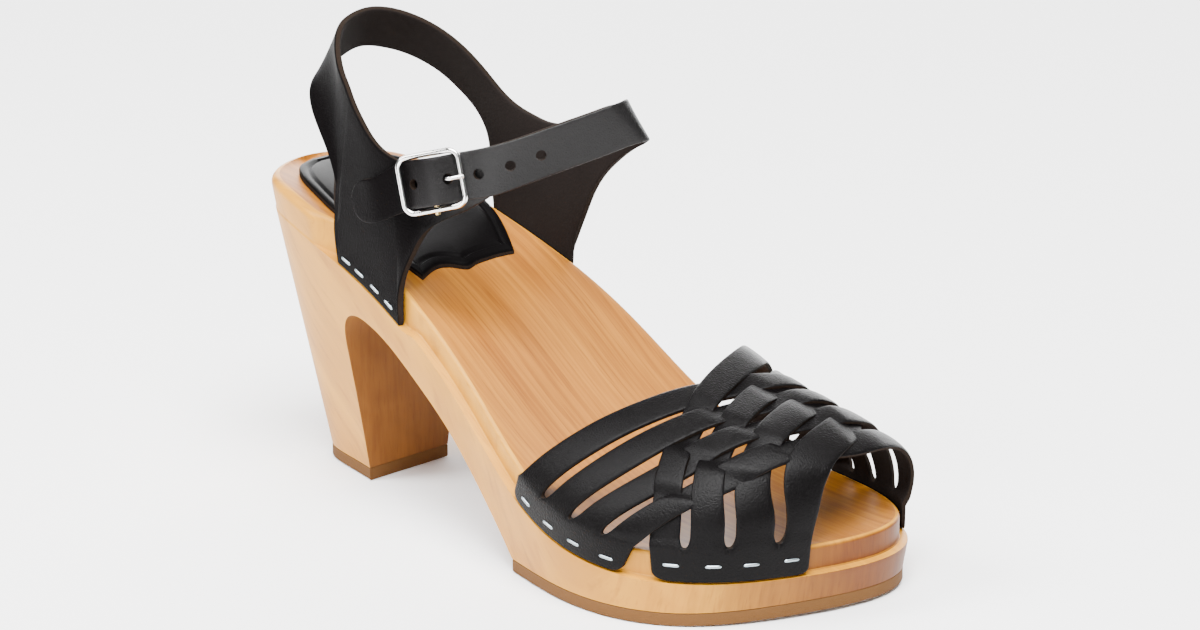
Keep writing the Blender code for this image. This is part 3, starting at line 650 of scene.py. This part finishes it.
def ring_solid(rings, top_steps=1, dish=0.0):
    """Points of rings from a top to a base, and the faces of the walls, the top and the base."""
    count = len(rings[0])
    points = list(np.vstack(rings))
    walls = grid_faces(len(rings), count, closed=True)
    top = span_ring(points, list(range(count)), top_steps, dish)
    base = span_ring(points, list(range((len(rings) - 1) * count, len(rings) * count)), 1)
    return points, walls, top, base


def make_sole():
    rings = sole_rings(sole_outline(OUTLINE_STEPS))
    points, walls, bed, base = ring_solid(rings, BED_STEPS, FOOTBED_DISH)
    finishes = [WOOD_WALL, WOOD_BED, WOOD_SAWN]
    indices = [WALL] * len(walls) + [BED] * len(bed) + [SAWN] * len(base)
    sole = new_object("wood_sole_looks", points, walls + bed + base, finishes, indices)
    weld(sole)
    arch = [tuple(row) for row in curve_through(ARCH, OUTLINE_STEPS)]
    profile = [*arch, (ARCH[-1][0], ARCH_SAW_BASE), (ARCH[0][0], ARCH_SAW_BASE)]
    cut(sole, prism_object("arch_saw", profile, SAW_Y, finishes, SAWN), SOLE_ANGLE)
    show(sole, "wood", "wood_sole")


def make_rubber():
    """Slabs on the floor outline, cut off behind the ball of the foot and in front of the heel."""
    plan = sole_outline(OUTLINE_STEPS)[:, 2:]
    normal, lift = plan_normals(plan), toe_lift(plan[:, 0])
    rings = [np.column_stack([plan - normal * inset, height + lift]) for inset, height in RUBBER_STEPS]
    points, walls, top, base = ring_solid(rings)
    saws = (("outsole_forefoot", (SAW_X[0], OUTSOLE_REAR_X)), ("heel_lift", (HEEL_FRONT_X, SAW_X[1])))
    for node, saw_x in saws:
        slab = new_object(node + "_looks", points, walls + top + base, [RUBBER_TAN])
        weld(slab)
        cut(slab, box_object("saw", saw_x, SAW_Y, SAW_Z, RUBBER_TAN))
        show(slab, "rubber", node)


# Heel pad

def footbed(x, y):
    low, high = leather_y(LATERAL, x) + FOOTBED_INSET, leather_y(MEDIAL, x) - FOOTBED_INSET
    share = np.clip((y - low) / (high - low), 0, 1)
    return rim_height(x) - 4 * share * (1 - share) * FOOTBED_DISH


def pad_outline():
    """Closed outline: along the lateral side, the scalloped front, and back along the medial side."""
    sides, front = spline_of(PAD_ROWS), spline_of(PAD_FRONT)
    rear, nominal = PAD_ROWS[0][0], PAD_ROWS[-1][0]
    along = np.linspace(0, 1, PAD_SIDE_STEPS)
    stations = rear + (nominal - rear) * along**PAD_CROWDING
    pull = along**PAD_PULL
    low_side = np.column_stack([stations + (front(0)[0] - nominal) * pull, sides(stations)[:, 0]])
    high_side = np.column_stack([stations + (front(1)[0] - nominal) * pull, sides(stations)[:, 1]])
    shares = np.linspace(0, 1, PAD_FRONT_STEPS)[1:-1]
    low, high = sides(nominal)
    edge = np.column_stack([front(shares)[:, 0], low + (high - low) * shares])
    back_y = np.linspace(high_side[0, 1], low_side[0, 1], PAD_BACK_STEPS)[1:-1]
    back = np.column_stack([np.full_like(back_y, rear), back_y])
    return np.vstack([low_side, edge, high_side[::-1], back])


def make_pad():
    """Pad of rings drawn in from its outline, with a pressed line inside its edge."""
    outline = pad_outline()
    inward = -plan_normals(outline)
    for _ in range(PAD_EVENING):
        inward = unit(np.roll(inward, 1, axis=0) + 2 * inward + np.roll(inward, -1, axis=0))
    levels = [(outline + inward * inset, PAD + height) for inset, height in PAD_PROFILE]
    inner, top = levels[-1]
    levels += [(PAD_CENTRE + (inner - PAD_CENTRE) * share, top) for share in PAD_SHARES]
    rings = []
    for plan, height in levels:
        rings.append(np.column_stack([plan, footbed(plan[:, 0], plan[:, 1]) + PAD_GAP + height]))
    count = len(outline)
    points = np.vstack(rings)
    faces = grid_faces(len(rings), count, closed=True)
    under = list(range(count))
    indices = [CUT_EDGE] * count + [OUTSIDE] * (len(faces) - count) + [CUT_EDGE]
    pad = new_object("insole_pad_looks", points, faces + [under], [PAD_BLACK, RAW_EDGE], indices)
    weld(pad)
    soften(pad, LEATHER_ANGLE)
    show(pad, "leather", "insole_pad")


# Leather sheets

def soft_edge(distance, thickness):
    """Half thickness of cut leather at a distance in from its edge."""
    u = np.clip(np.asarray(distance, float) / EDGE_SOFT, 0, 1)
    return thickness / 2 * (EDGE_LEFT + (1 - EDGE_LEFT) * np.sqrt(1 - (1 - u)**2))


def shell(middle, normal, half, sides):
    """Points, faces and material places of a thick sheet, with sides along and against its normal."""
    rows, columns = middle.shape[:2]
    upper = (middle + normal * half[..., None]).reshape(-1, 3)
    lower = (middle - normal * half[..., None]).reshape(-1, 3)
    total = rows * columns
    faces = grid_faces(rows, columns)
    indices = [sides[0]] * len(faces) + [sides[1]] * len(faces)
    faces += [face[::-1] for face in grid_faces(rows, columns, total)]
    places = np.arange(total).reshape(rows, columns)
    for line in (places[:, 0], places[:, -1], places[0], places[-1]):
        for a, b in zip(line, line[1:]):
            faces.append((a, b, total + b, total + a))
            indices.append(CUT_EDGE)
    return np.vstack([upper, lower]), faces, indices


# Woven vamp

VAMP_SECTION = spline_of(VAMP_ROWS)
WEAVE_EDGES = spline_of(WEAVE_ROWS)


def flank(angle, fullness):
    return 1 - np.cos(angle)**(2 / fullness), np.sin(angle)**(2 / fullness)


def vamp_point(x, t):
    """Point over the last: t runs 0 to 1 from the lateral to the medial rim, and past it down the tab."""
    x, t = np.broadcast_arrays(np.asarray(x, float), np.asarray(t, float))
    crown_y, crown_z, full_lateral, full_medial, bulge = np.moveaxis(VAMP_SECTION(x), -1, 0)
    base = rim_height(x) + RIM_STAND
    belly = bulge * np.sin(np.pi * np.clip(2 - 2 * t, 0, 1)**BULGE_RISE)
    out_l, up_l = flank(np.clip(t, 0, 0.5) * np.pi, full_lateral)
    out_m, up_m = flank(np.clip(1 - t, 0, 0.5) * np.pi, full_medial)
    low_y, high_y = leather_y(LATERAL, x), leather_y(MEDIAL, x)
    y = np.where(t < 0.5, low_y + (crown_y - low_y) * out_l, high_y + (crown_y - high_y) * out_m + belly)
    tab = np.maximum(np.maximum(-t, t - 1), 0) * TAB_FALL
    return np.stack([x, y, base + (crown_z - base) * np.where(t < 0.5, up_l, up_m) - tab], axis=-1)


def vamp_normal(x, t):
    inside = np.clip(t, NORMAL_STEP_T, 1 - NORMAL_STEP_T)
    along = vamp_point(x + NORMAL_STEP_X, inside) - vamp_point(x - NORMAL_STEP_X, inside)
    over = vamp_point(x, inside + NORMAL_STEP_T) - vamp_point(x, inside - NORMAL_STEP_T)
    return unit(np.cross(along, over))


def weave_x(piece, share, t):
    """Place along the foot of a line at a share of the width of woven piece 0 or 1."""
    edges = WEAVE_EDGES(t)
    rear, front = edges[..., 2 * piece], edges[..., 2 * piece + 1]
    bunch = 1 + TOE_BUNCH * piece * (1 - smooth_step(*TOE_BUNCH_T, t))
    return rear + (front - rear) * (1 - (1 - share)**bunch)


def strip_shares(strip, opening=1.0):
    """Rear and front edge of a strip; the slits beside it close as `opening` goes to 0."""
    pitch = 1 / (STRIPS - SLIT_SHARE)
    half_slit = (1 - opening) * SLIT_SHARE / 2 * pitch
    rear = strip * pitch - half_slit * (strip > 0)
    front = (strip + 1 - SLIT_SHARE) * pitch + half_slit * (strip < STRIPS - 1)
    return rear, front


def crossings(piece, strip):
    """Where a strip crosses the other piece's strips, and the side that it passes on."""
    t = np.linspace(*CROSSING_SEARCH)
    own = weave_x(piece, sum(strip_shares(strip)) / 2, t)
    found = []
    for other in range(STRIPS):
        apart = own - weave_x(1 - piece, sum(strip_shares(other)) / 2, t)
        over = 1 if (strip + other + piece) % 2 else -1
        found.append((t[np.argmin(abs(apart))], over))
    return sorted(found)


def weave_lift(piece, strip, t):
    """Height of a strip over the last as it passes over and under the strips that it crosses."""
    knots = crossings(piece, strip)
    first, last = knots[0][0], knots[-1][0]
    rise_end = max(SLIT_START + LIFT_RUN / 4, first - LIFT_CLEAR)
    fall_start = min(1 - SLIT_START - LIFT_RUN / 4, last + LIFT_CLEAR)
    lift = knots[0][1] * smooth_step(max(SLIT_START, rise_end - LIFT_RUN), rise_end, t)
    for (a, side_a), (b, side_b) in zip(knots, knots[1:]):
        hold = LIFT_HOLD * (b - a)
        lift = lift + (side_b - side_a) * smooth_step(a + hold, b - hold, t)
    return WEAVE * lift * (1 - smooth_step(fall_start, min(1 - SLIT_START, fall_start + LIFT_RUN), t))


def slit_opening(t):
    """0 in the tabs and 1 along the slits, with round slit ends."""
    end = np.clip((np.minimum(t, 1 - t) - SLIT_START) / SLIT_ROUND, 0, 1)
    return np.sqrt(1 - (1 - end)**2)


def weave_stations():
    """Places across the foot, closer together in the tabs and at the slit ends."""
    tab = TAB_END * (np.array(TAB_STEPS) - 1)
    slit = SLIT_START + SLIT_ROUND * np.linspace(0, 1, SLIT_STEPS)**2
    near = np.concatenate([tab, slit])
    return np.concatenate([near, np.linspace(*WEAVE_MIDDLE), 1 - near[::-1]])


def corner_inset(t):
    """How far the round lower corner of a tab draws in, in millimetres."""
    height = (TAB_END + np.minimum(t, 1 - t)) * TAB_FALL
    short = np.clip(TAB_CORNER - height, 0, TAB_CORNER)
    return TAB_CORNER - np.sqrt(TAB_CORNER**2 - short**2)


def over_crown(sheet, t):
    """Sheet with its turn over the crown of the last rounded."""
    near = (1 - smooth_step(*CROWN_REACH_T, abs(t - 0.5)))[1:-1, None, None]
    for _ in range(CROWN_EVENING):
        mean = (sheet[:-2] + sheet[2:]) / 2
        sheet[1:-1] += (mean - sheet[1:-1]) * near
    return sheet


def make_strip(piece, strip):
    """One strip from tab to tab; its edges are soft where it stands free and flush inside the tabs."""
    t = weave_stations()
    opening = slit_opening(t)
    rear, front = strip_shares(strip, opening)
    piece_width = weave_x(piece, 1.0, t) - weave_x(piece, 0.0, t)
    if strip == 0:
        rear = rear + corner_inset(t) / piece_width
    if strip == STRIPS - 1:
        front = front - corner_inset(t) / piece_width
    lift = np.where(opening > 0, weave_lift(piece, strip, t), 0)
    width = piece_width * (front - rear)
    inset = np.array(EDGE_STEPS)[None] / width[:, None]
    middle = np.array(STRIP_COLUMNS)[None] * np.ones_like(width)[:, None]
    across = np.concatenate([inset, middle, 1 - inset[:, ::-1]], axis=1)
    share = rear[:, None] + (front - rear)[:, None] * across
    stations = np.repeat(t[:, None], across.shape[1], axis=1)
    x = weave_x(piece, share, stations)
    normal = vamp_normal(x, stations)
    from_rim = np.minimum(t, 1 - t)[:, None]
    thickness = LEATHER + (VAMP_LEATHER - LEATHER) * smooth_step(*THINNING_T, from_rim)
    full = thickness / 2
    half = full
    for beside_slit, from_edge in ((strip > 0, across), (strip < STRIPS - 1, 1 - across)):
        free = np.minimum(1, 2 * opening[:, None]) if beside_slit else 1
        edge = soft_edge(from_edge * width[:, None], thickness)
        half = np.minimum(half, full + (edge - full) * free)
    dome = STRIP_DOME * 4 * across * (1 - across) * smooth_step(*DOME_RISE_T, from_rim)
    sheet = over_crown(vamp_point(x, stations), t) + normal * (lift[:, None] + dome)[..., None]
    return shell(sheet, normal, half, (OUTSIDE, LINED))


def make_vamp():
    points, faces, indices = [], [], []
    for piece in (0, 1):
        for strip in range(STRIPS):
            strip_points, strip_faces, strip_indices = make_strip(piece, strip)
            start = sum(map(len, points))
            points.append(strip_points)
            faces += [tuple(start + corner for corner in face) for face in strip_faces]
            indices += strip_indices
    finishes = [BLACK, RAW_EDGE, LINING]
    vamp = new_object("upper_vamp_looks", np.vstack(points), faces, finishes, indices, LEATHER_ANGLE)
    show(vamp, "leather", "upper_vamp")


# Buckle frame, and the ankle strap's way under its sides and over its bar

def buckle_axes():
    """Along the strap, up the frame, and out from the foot."""
    level = Vector((math.cos(BUCKLE_HEADING), math.sin(BUCKLE_HEADING), 0))
    out = level.cross(Vector((0, 0, 1)))
    along = level * math.cos(BUCKLE_TILT) + Vector((0, 0, math.sin(BUCKLE_TILT)))
    up = out.cross(along)
    lean = Matrix.Rotation(BUCKLE_LEAN, 3, along)
    return along, lean @ up, lean @ out


def buckle_point(along_mm, out_mm, up_mm=0.0):
    """Point given along the strap, out from the foot and up, from the middle of the buckle."""
    along, up, out = buckle_axes()
    return Vector(BUCKLE_CENTRE) + along * along_mm + out * out_mm + up * up_mm


def strap_row(side):
    """Lower and upper edge of the strap: under the frame's front (1) or rear (-1), or over the bar (0)."""
    clear = (BUCKLE_WIRE + LEATHER) / 2 + GAP
    along_mm = side * BUCKLE_SIZE[0] / 2
    out_mm = -clear - STRAP_UNDER if side else clear + STRAP_OVER
    half = BUCKLE_STRAP / 2
    return tuple(tuple(buckle_point(along_mm, out_mm, up_mm)) for up_mm in (-half, half))


# Heel piece: lower and upper edge from the buckle tab round the heel to the tip of the ankle strap

HEEL_PIECE = [
    ((104.0, -12.2, 101.3), (103.2, -12.8, 111.0)),
    ((98.1, -17.0, 96.9), (98.4, -16.7, 112.0)),
    ((93.3, -26.4, 92.1), (93.2, -21.5, 112.0)),
    ((90.1, -30.0, 84.6), (88.8, -25.2, 111.6)),
    ((86.8, -31.0, 76.9), (86.0, -27.2, 111.2)),
    ((85.2, -31.4, 69.0), (84.2, -28.4, 111.2)),
    (on_ledge(LATERAL, 84.4), (81.8, -29.6, 112.0)),
    (on_ledge(LATERAL, 74.5), (75.0, -30.6, 115.2)),
    (on_ledge(LATERAL, 64.5), (68.0, -30.6, 121.6)),
    (on_ledge(LATERAL, 54.4), (63.5, -29.9, 126.2)),
    ((53.0, -28.5, 85.2), (60.0, -28.8, 129.7)),
    ((53.9, -29.2, 97.8), (56.0, -27.2, 132.4)),
    ((51.6, -29.1, 106.5), (51.2, -24.5, 135.4)),
    ((42.0, -26.3, 116.0), (45.0, -19.5, 139.0)),
    ((34.0, -20.6, 123.0), (40.0, -13.6, 142.0)),
    ((30.2, -9.5, 128.0), (36.4, -6.0, 143.3)),
    ((28.0, 3.0, 130.5), (35.0, 2.0, 143.6)),
    ((29.6, 11.5, 129.1), (36.5, 8.5, 142.6)),
    ((33.0, 19.0, 126.2), (40.0, 14.5, 140.2)),
    ((39.9, 25.1, 121.3), (46.0, 20.5, 135.8)),
    ((45.5, 28.1, 116.4), (52.5, 25.0, 129.8)),
    ((52.0, 30.0, 110.4), (58.3, 27.9, 123.5)),
    ((57.0, 30.9, 102.0), (64.0, 29.9, 117.6)),
    ((58.8, 30.3, 91.0), (69.0, 31.2, 114.2)),
    (on_ledge(MEDIAL, 61.5), (74.5, 32.3, 112.2)),
    (on_ledge(MEDIAL, 70.0), (80.5, 33.0, 111.0)),
    (on_ledge(MEDIAL, 80.0), (86.4, 33.2, 111.4)),
    (on_ledge(MEDIAL, 87.6), (91.5, 33.2, 112.7)),
    ((89.6, 35.9, 73.0), (96.0, 33.1, 114.3)),
    ((95.4, 34.2, 84.0), (100.5, 32.7, 116.2)),
    ((100.8, 32.8, 92.6), (104.8, 32.0, 118.4)),
    ((105.8, 31.8, 98.7), (109.0, 31.3, 120.7)),
    ((110.6, 31.1, 103.2), (113.0, 30.5, 122.9)),
    ((115.7, 30.2, 107.2), (117.0, 29.8, 125.0)),
    ((121.0, 29.4, 110.8), (119.6, 27.9, 126.2)),
    ((126.2, 28.8, 113.8), (122.2, 25.3, 127.4)),
    ((129.6, 27.6, 115.7), (124.6, 22.4, 128.2)),
    ((130.4, 25.4, 116.2), (125.2, 19.2, 128.1)),
    ((129.2, 22.8, 115.9), (125.1, 16.2, 127.9)),
    ((126.4, 17.0, 114.1), (123.3, 10.9, 126.6)),
    ((122.4, 8.5, 111.5), (120.3, 3.8, 124.7)),
    ((117.6, -0.7, 108.5), (116.2, -3.3, 122.3)),
    ((112.5, -9.7, 105.3), (109.8, -11.3, 119.0)),
    ((108.0, -15.7, 103.0), (103.9, -16.2, 116.8)),
    strap_row(1),
    strap_row(0),
    strap_row(-1),
    ((80.9, -33.3, 93.6), (77.1, -33.6, 106.0)),
    ((74.6, -33.7, 91.6), (71.4, -33.6, 104.0)),
    ((70.4, -33.5, 92.3), (68.3, -33.4, 101.2)),
    ((68.2, -33.3, 94.6), (67.1, -33.3, 98.2))]

# Rows of the heel piece: corners of the quarters' feet, start of the strap, ranges that are eased
HEEL_CORNERS = (6, 9, 24, 27)
FOOT_FADE = 0.4
STRAP_FROM = 39
EASED_LATERAL = (12, 15.5)
EASED_MEDIAL = ((21, 23), (33, 36))
EASE_ROUNDS = 220

# Steps of the heel piece
HEEL_STEPS = 8
SHEET_COLUMNS = 21
EDGE_FREE = (0.12, 0.88, 15)
LEAST_WIDTH = 3.0
KNEE_SHARE = 0.2
KNEE_HEIGHT = LEDGE_HEIGHT + LEDGE_DIP + 0.6

# Punched holes behind and in front of the one that holds the prong
HOLES_BEFORE, HOLES_AFTER = 3, 1


def heel_sheet():
    """Grid from the lower to the upper edge; the quarters stand straight up beside the sole's wall."""
    low = broken_curve([row[0] for row in HEEL_PIECE], HEEL_STEPS, HEEL_CORNERS)
    top = curve_through([row[1] for row in HEEL_PIECE], HEEL_STEPS)
    rows = np.arange(len(low)) / HEEL_STEPS
    stand = np.maximum(foot_share(rows, *HEEL_CORNERS[:2]), foot_share(rows, *HEEL_CORNERS[2:]))
    lean = low + (top - low) * KNEE_SHARE
    upright = low + np.array((0, 0, KNEE_HEIGHT))
    knee = lean + (upright - lean) * stand[:, None]
    shares = np.linspace(0, 1, SHEET_COLUMNS)
    lines = [along_line(np.array(knots), shares) for knots in zip(low, knee, top)]
    smooth = eased(np.array(lines), rows, stand)
    return np.array([edge_columns(line) for line in smooth])


def foot_share(rows, first, last):
    """1 between the corners of a quarter's foot, fading to 0 just outside them."""
    return smooth_step(first - FOOT_FADE, first, rows) * (1 - smooth_step(last, last + FOOT_FADE, rows))


def run_along(line):
    """Distance along a line of points from its start."""
    return np.concatenate([[0], np.cumsum(np.linalg.norm(np.diff(line, axis=0), axis=1))])


def along_line(line, shares):
    """Points at shares of the length of a line."""
    run = run_along(line)
    return np.column_stack([np.interp(shares * run[-1], run, axis) for axis in line.T])


def eased(grid, rows, stand):
    """Sheet with the quarters evened out sideways between their edges, so that no fold shows in them."""
    medial_start, medial_end = EASED_MEDIAL
    medial = smooth_step(*medial_start, rows) * (1 - smooth_step(*medial_end, rows))
    quarter = np.maximum(1 - smooth_step(*EASED_LATERAL, rows), medial)
    height = grid[..., 2] - grid[:, :1, 2]
    held = stand[:, None] * (height < LEDGE_HEIGHT + LEDGE_DIP)
    free = (quarter[:, None] * (1 - held))[1:-1, 1:-1]
    y = grid[..., 1].copy()
    for _ in range(EASE_ROUNDS):
        mean = (y[:-2, 1:-1] + y[2:, 1:-1] + y[1:-1, :-2] + y[1:-1, 2:]) / 4
        y[1:-1, 1:-1] += (mean - y[1:-1, 1:-1]) * free
    return np.stack([grid[..., 0], y, grid[..., 2]], axis=-1)


def edge_columns(line):
    """The same line with more points close to its two ends, where the cut edges are rounded."""
    edge = np.array(EDGE_STEPS) / max(run_along(line)[-1], LEAST_WIDTH)
    return along_line(line, np.concatenate([edge, np.linspace(*EDGE_FREE), 1 - edge[::-1]]))


def sheet_normals(grid):
    """Normals of the heel piece, which point in to the foot."""
    along = np.gradient(grid, axis=0)
    up = np.gradient(grid, axis=1)
    return unit(np.cross(along, up))


def strap_holes(sheet):
    """Centres and directions of the punched holes, stepped off from the one that holds the prong."""
    strap = sheet[STRAP_FROM * HEEL_STEPS:]
    middle = (strap[:, 0] + strap[:, -1]) / 2
    normal = unit(np.cross(np.gradient(middle, axis=0), strap[:, -1] - strap[:, 0]))
    run = run_along(middle)
    prong = run[np.argmin(np.linalg.norm(middle - np.array(buckle_point(*PRONG_HOLE)), axis=1))]
    steps = prong + HOLE_PITCH * np.arange(-HOLES_BEFORE, HOLES_AFTER + 1)
    places = [np.argmin(abs(run - step)) for step in steps]
    return [(middle[k], normal[k]) for k in places]


def hole_punches(sheet, finishes):
    """Round punches through the strap, in one object."""
    bm = bmesh.new()
    radius = STRAP_HOLE / 2 * MM
    for centre, direction in strap_holes(sheet):
        turn = Vector(direction).to_track_quat("Z", "Y").to_matrix().to_4x4()
        place = Matrix.Translation(Vector((centre - PLAN_CENTRE) * MM)) @ turn
        bmesh.ops.create_cone(bm, cap_ends=True, segments=HOLE_SIDES, radius1=radius, radius2=radius,
                              depth=PUNCH_DEPTH * LEATHER * MM, matrix=place)
    mesh = bpy.data.meshes.new("punches")
    bm.to_mesh(mesh)
    bm.free()
    for finish in finishes:
        mesh.materials.append(finish)
    for polygon in mesh.polygons:
        polygon.material_index = CUT_EDGE
    punches = bpy.data.objects.new("punches", mesh)
    bpy.context.scene.collection.objects.link(punches)
    return punches


def make_heel_piece():
    sheet = heel_sheet()
    normal = sheet_normals(sheet)
    run_up = np.cumsum(np.linalg.norm(np.diff(sheet, axis=1), axis=2), axis=1)
    up = np.concatenate([np.zeros((len(sheet), 1)), run_up], axis=1)
    half = np.minimum(soft_edge(up, LEATHER), soft_edge(up[:, -1:] - up, LEATHER))
    points, faces, indices = shell(sheet, normal, half, (LINED, OUTSIDE))
    finishes = [BLACK_HEEL, RAW_EDGE, LINING]
    piece = new_object("upper_heel_looks", points, faces, finishes, indices, LEATHER_ANGLE)
    weld(piece)
    cut(piece, hole_punches(sheet, finishes), LEATHER_ANGLE)
    show(piece, "leather", "upper_heel")


# Buckle and staples

def make_buckle():
    half_w, half_h = BUCKLE_SIZE[0] / 2, BUCKLE_SIZE[1] / 2
    path = []
    for quarter, (sign_w, sign_h) in enumerate(((1, 1), (-1, 1), (-1, -1), (1, -1))):
        for step in range(CORNER_STEPS + 1):
            angle = (quarter + step / CORNER_STEPS) * math.pi / 2
            w = sign_w * (half_w - BUCKLE_CORNER) + BUCKLE_CORNER * math.cos(angle)
            h = sign_h * (half_h - BUCKLE_CORNER) + BUCKLE_CORNER * math.sin(angle)
            path.append(buckle_point(w, 0, h))
    frame_wire = tube("buckle_frame_looks", path, BUCKLE_WIRE, NICKEL, closed=True, sides=FRAME_SIDES)
    show(frame_wire, "metal", "buckle_frame")
    heights = np.linspace(-half_h - BAR_PAST, BUCKLE_STRAP / 2, BAR_STEPS)
    bar = [buckle_point(0, BAR_BEHIND, height) for height in heights]
    show(tube("buckle_bar_looks", bar, BAR_WIRE, BRASS), "metal", "buckle_bar")
    prong = curve_through([buckle_point(along, out) for along, out in PRONG_PATH], PRONG_STEPS)
    show(tube("buckle_prong_looks", prong, PRONG_WIRE, NICKEL), "metal", "buckle_prong")


def staple(name, centre, along, outward):
    """Wire staple: a crown on the leather with its legs driven in."""
    half, radius = STAPLE_LENGTH / 2, STAPLE_WIRE
    middle = centre + outward * (LEATHER / 2 - STAPLE_SUNK)
    turns = np.radians(np.linspace(90, 0, STAPLE_TURNS))
    bend = [(-half + radius * (1 - math.sin(a)), radius * (math.cos(a) - 1)) for a in turns]
    path = [(-half, -STAPLE_LEG), *bend, *[(-w, d) for w, d in bend[::-1]], (half, -STAPLE_LEG)]
    points = [middle + along * w + outward * d for w, d in path]
    show(tube(name, points, STAPLE_WIRE, STEEL, sides=STAPLE_SIDES), "metal")


def row_of_staples(tab, line, outward, shares):
    """Staples at shares of the length of a line along a tab."""
    run = run_along(line)
    along = unit(np.gradient(line, axis=0))
    for number, share in enumerate(shares):
        k = np.argmin(abs(run - share * run[-1]))
        staple(f"staple_{tab}_{number + 1}", line[k], along[k], outward[k])


def make_staples():
    rear_t, front_t = REAR_TAB_STAPLES * TAB_END, FRONT_TAB_STAPLES * TAB_END
    tabs = [("vamp_rear_lateral", 0, -rear_t), ("vamp_front_medial", 0, 1 + front_t),
            ("vamp_front_lateral", 1, -front_t), ("vamp_rear_medial", 1, 1 + rear_t)]
    for tab, piece, t in tabs:
        x = weave_x(piece, np.linspace(0, 1, LINE_STEPS), t)
        row_of_staples(tab, vamp_point(x, t), vamp_normal(x, np.full_like(x, t)), VAMP_STAPLES)
    for tab, side, low, high in QUARTER_FEET:
        foot = np.array([on_ledge(side, x) for x in np.linspace(low, high, LINE_STEPS)])
        line = foot + (0, 0, STAPLE_HEIGHT)
        outward = unit(np.cross(np.gradient(line, axis=0), (0, 0, 1))) * -side
        row_of_staples(tab, line, outward, QUARTER_STAPLES)


# Stage, light and camera

# Floor: side and drop in metres; world's strength
FLOOR_SIZE = 12
FLOOR_DROP = 0.0002
WORLD_STRENGTH = 0.22

# Soft lights: name, place, place lit, size, power
LIGHTS = [
    ("overhead", (0.65, -0.45, 1.9), (0.1, 0, 0.05), (1.4, 1.4), 195),
    ("left_front", (-0.55, -0.9, 1.2), (0.05, 0, 0.05), (0.45, 0.8), 36),
    ("front", (0.74, -1.3, 0.3), (0, 0, 0.1), (0.4, 0.3), 12),
    ("backdrop", (-1.4, 1.9, 0.75), (0, 0, 0.1), (3.0, 1.4), 150)]

# Camera of the photo
CAMERA_PLACE = (0.88493, -0.83128, 0.4585)
CAMERA_TURN = (math.radians(72.0), 0, math.radians(46.2))
CAMERA_LENS = 128.9
CAMERA_SENSOR = 36.0


def area_light(name, place, target, size, power):
    data = bpy.data.lights.new(name, "AREA")
    data.shape = "RECTANGLE"
    data.size, data.size_y = size
    data.energy = power
    light = bpy.data.objects.new(name, data)
    light.location = place
    light.rotation_euler = (Vector(target) - Vector(place)).to_track_quat("-Z", "Y").to_euler()
    bpy.context.scene.collection.objects.link(light)


def make_stage():
    bpy.ops.mesh.primitive_plane_add(size=FLOOR_SIZE, location=(0, 0, -FLOOR_DROP))
    floor = bpy.context.object
    floor.name = "floor"
    floor.data.materials.append(FLOOR_WHITE)
    world = bpy.data.worlds.new("studio")
    world.use_nodes = True
    background = world.node_tree.nodes["Background"]
    background.inputs["Color"].default_value = (1, 1, 1, 1)
    background.inputs["Strength"].default_value = WORLD_STRENGTH
    bpy.context.scene.world = world
    for row in LIGHTS:
        area_light(*row)


def make_camera():
    camera_data = bpy.data.cameras.new("photo_camera")
    camera_data.sensor_fit = "HORIZONTAL"
    camera_data.sensor_width = CAMERA_SENSOR
    camera_data.lens = CAMERA_LENS
    camera = bpy.data.objects.new("photo_camera", camera_data)
    camera.location = CAMERA_PLACE
    camera.rotation_euler = CAMERA_TURN
    bpy.context.scene.collection.objects.link(camera)
    bpy.context.scene.camera = camera


make_sole()
make_rubber()
make_pad()
make_vamp()
make_heel_piece()
make_buckle()
make_staples()
make_stage()
make_camera()
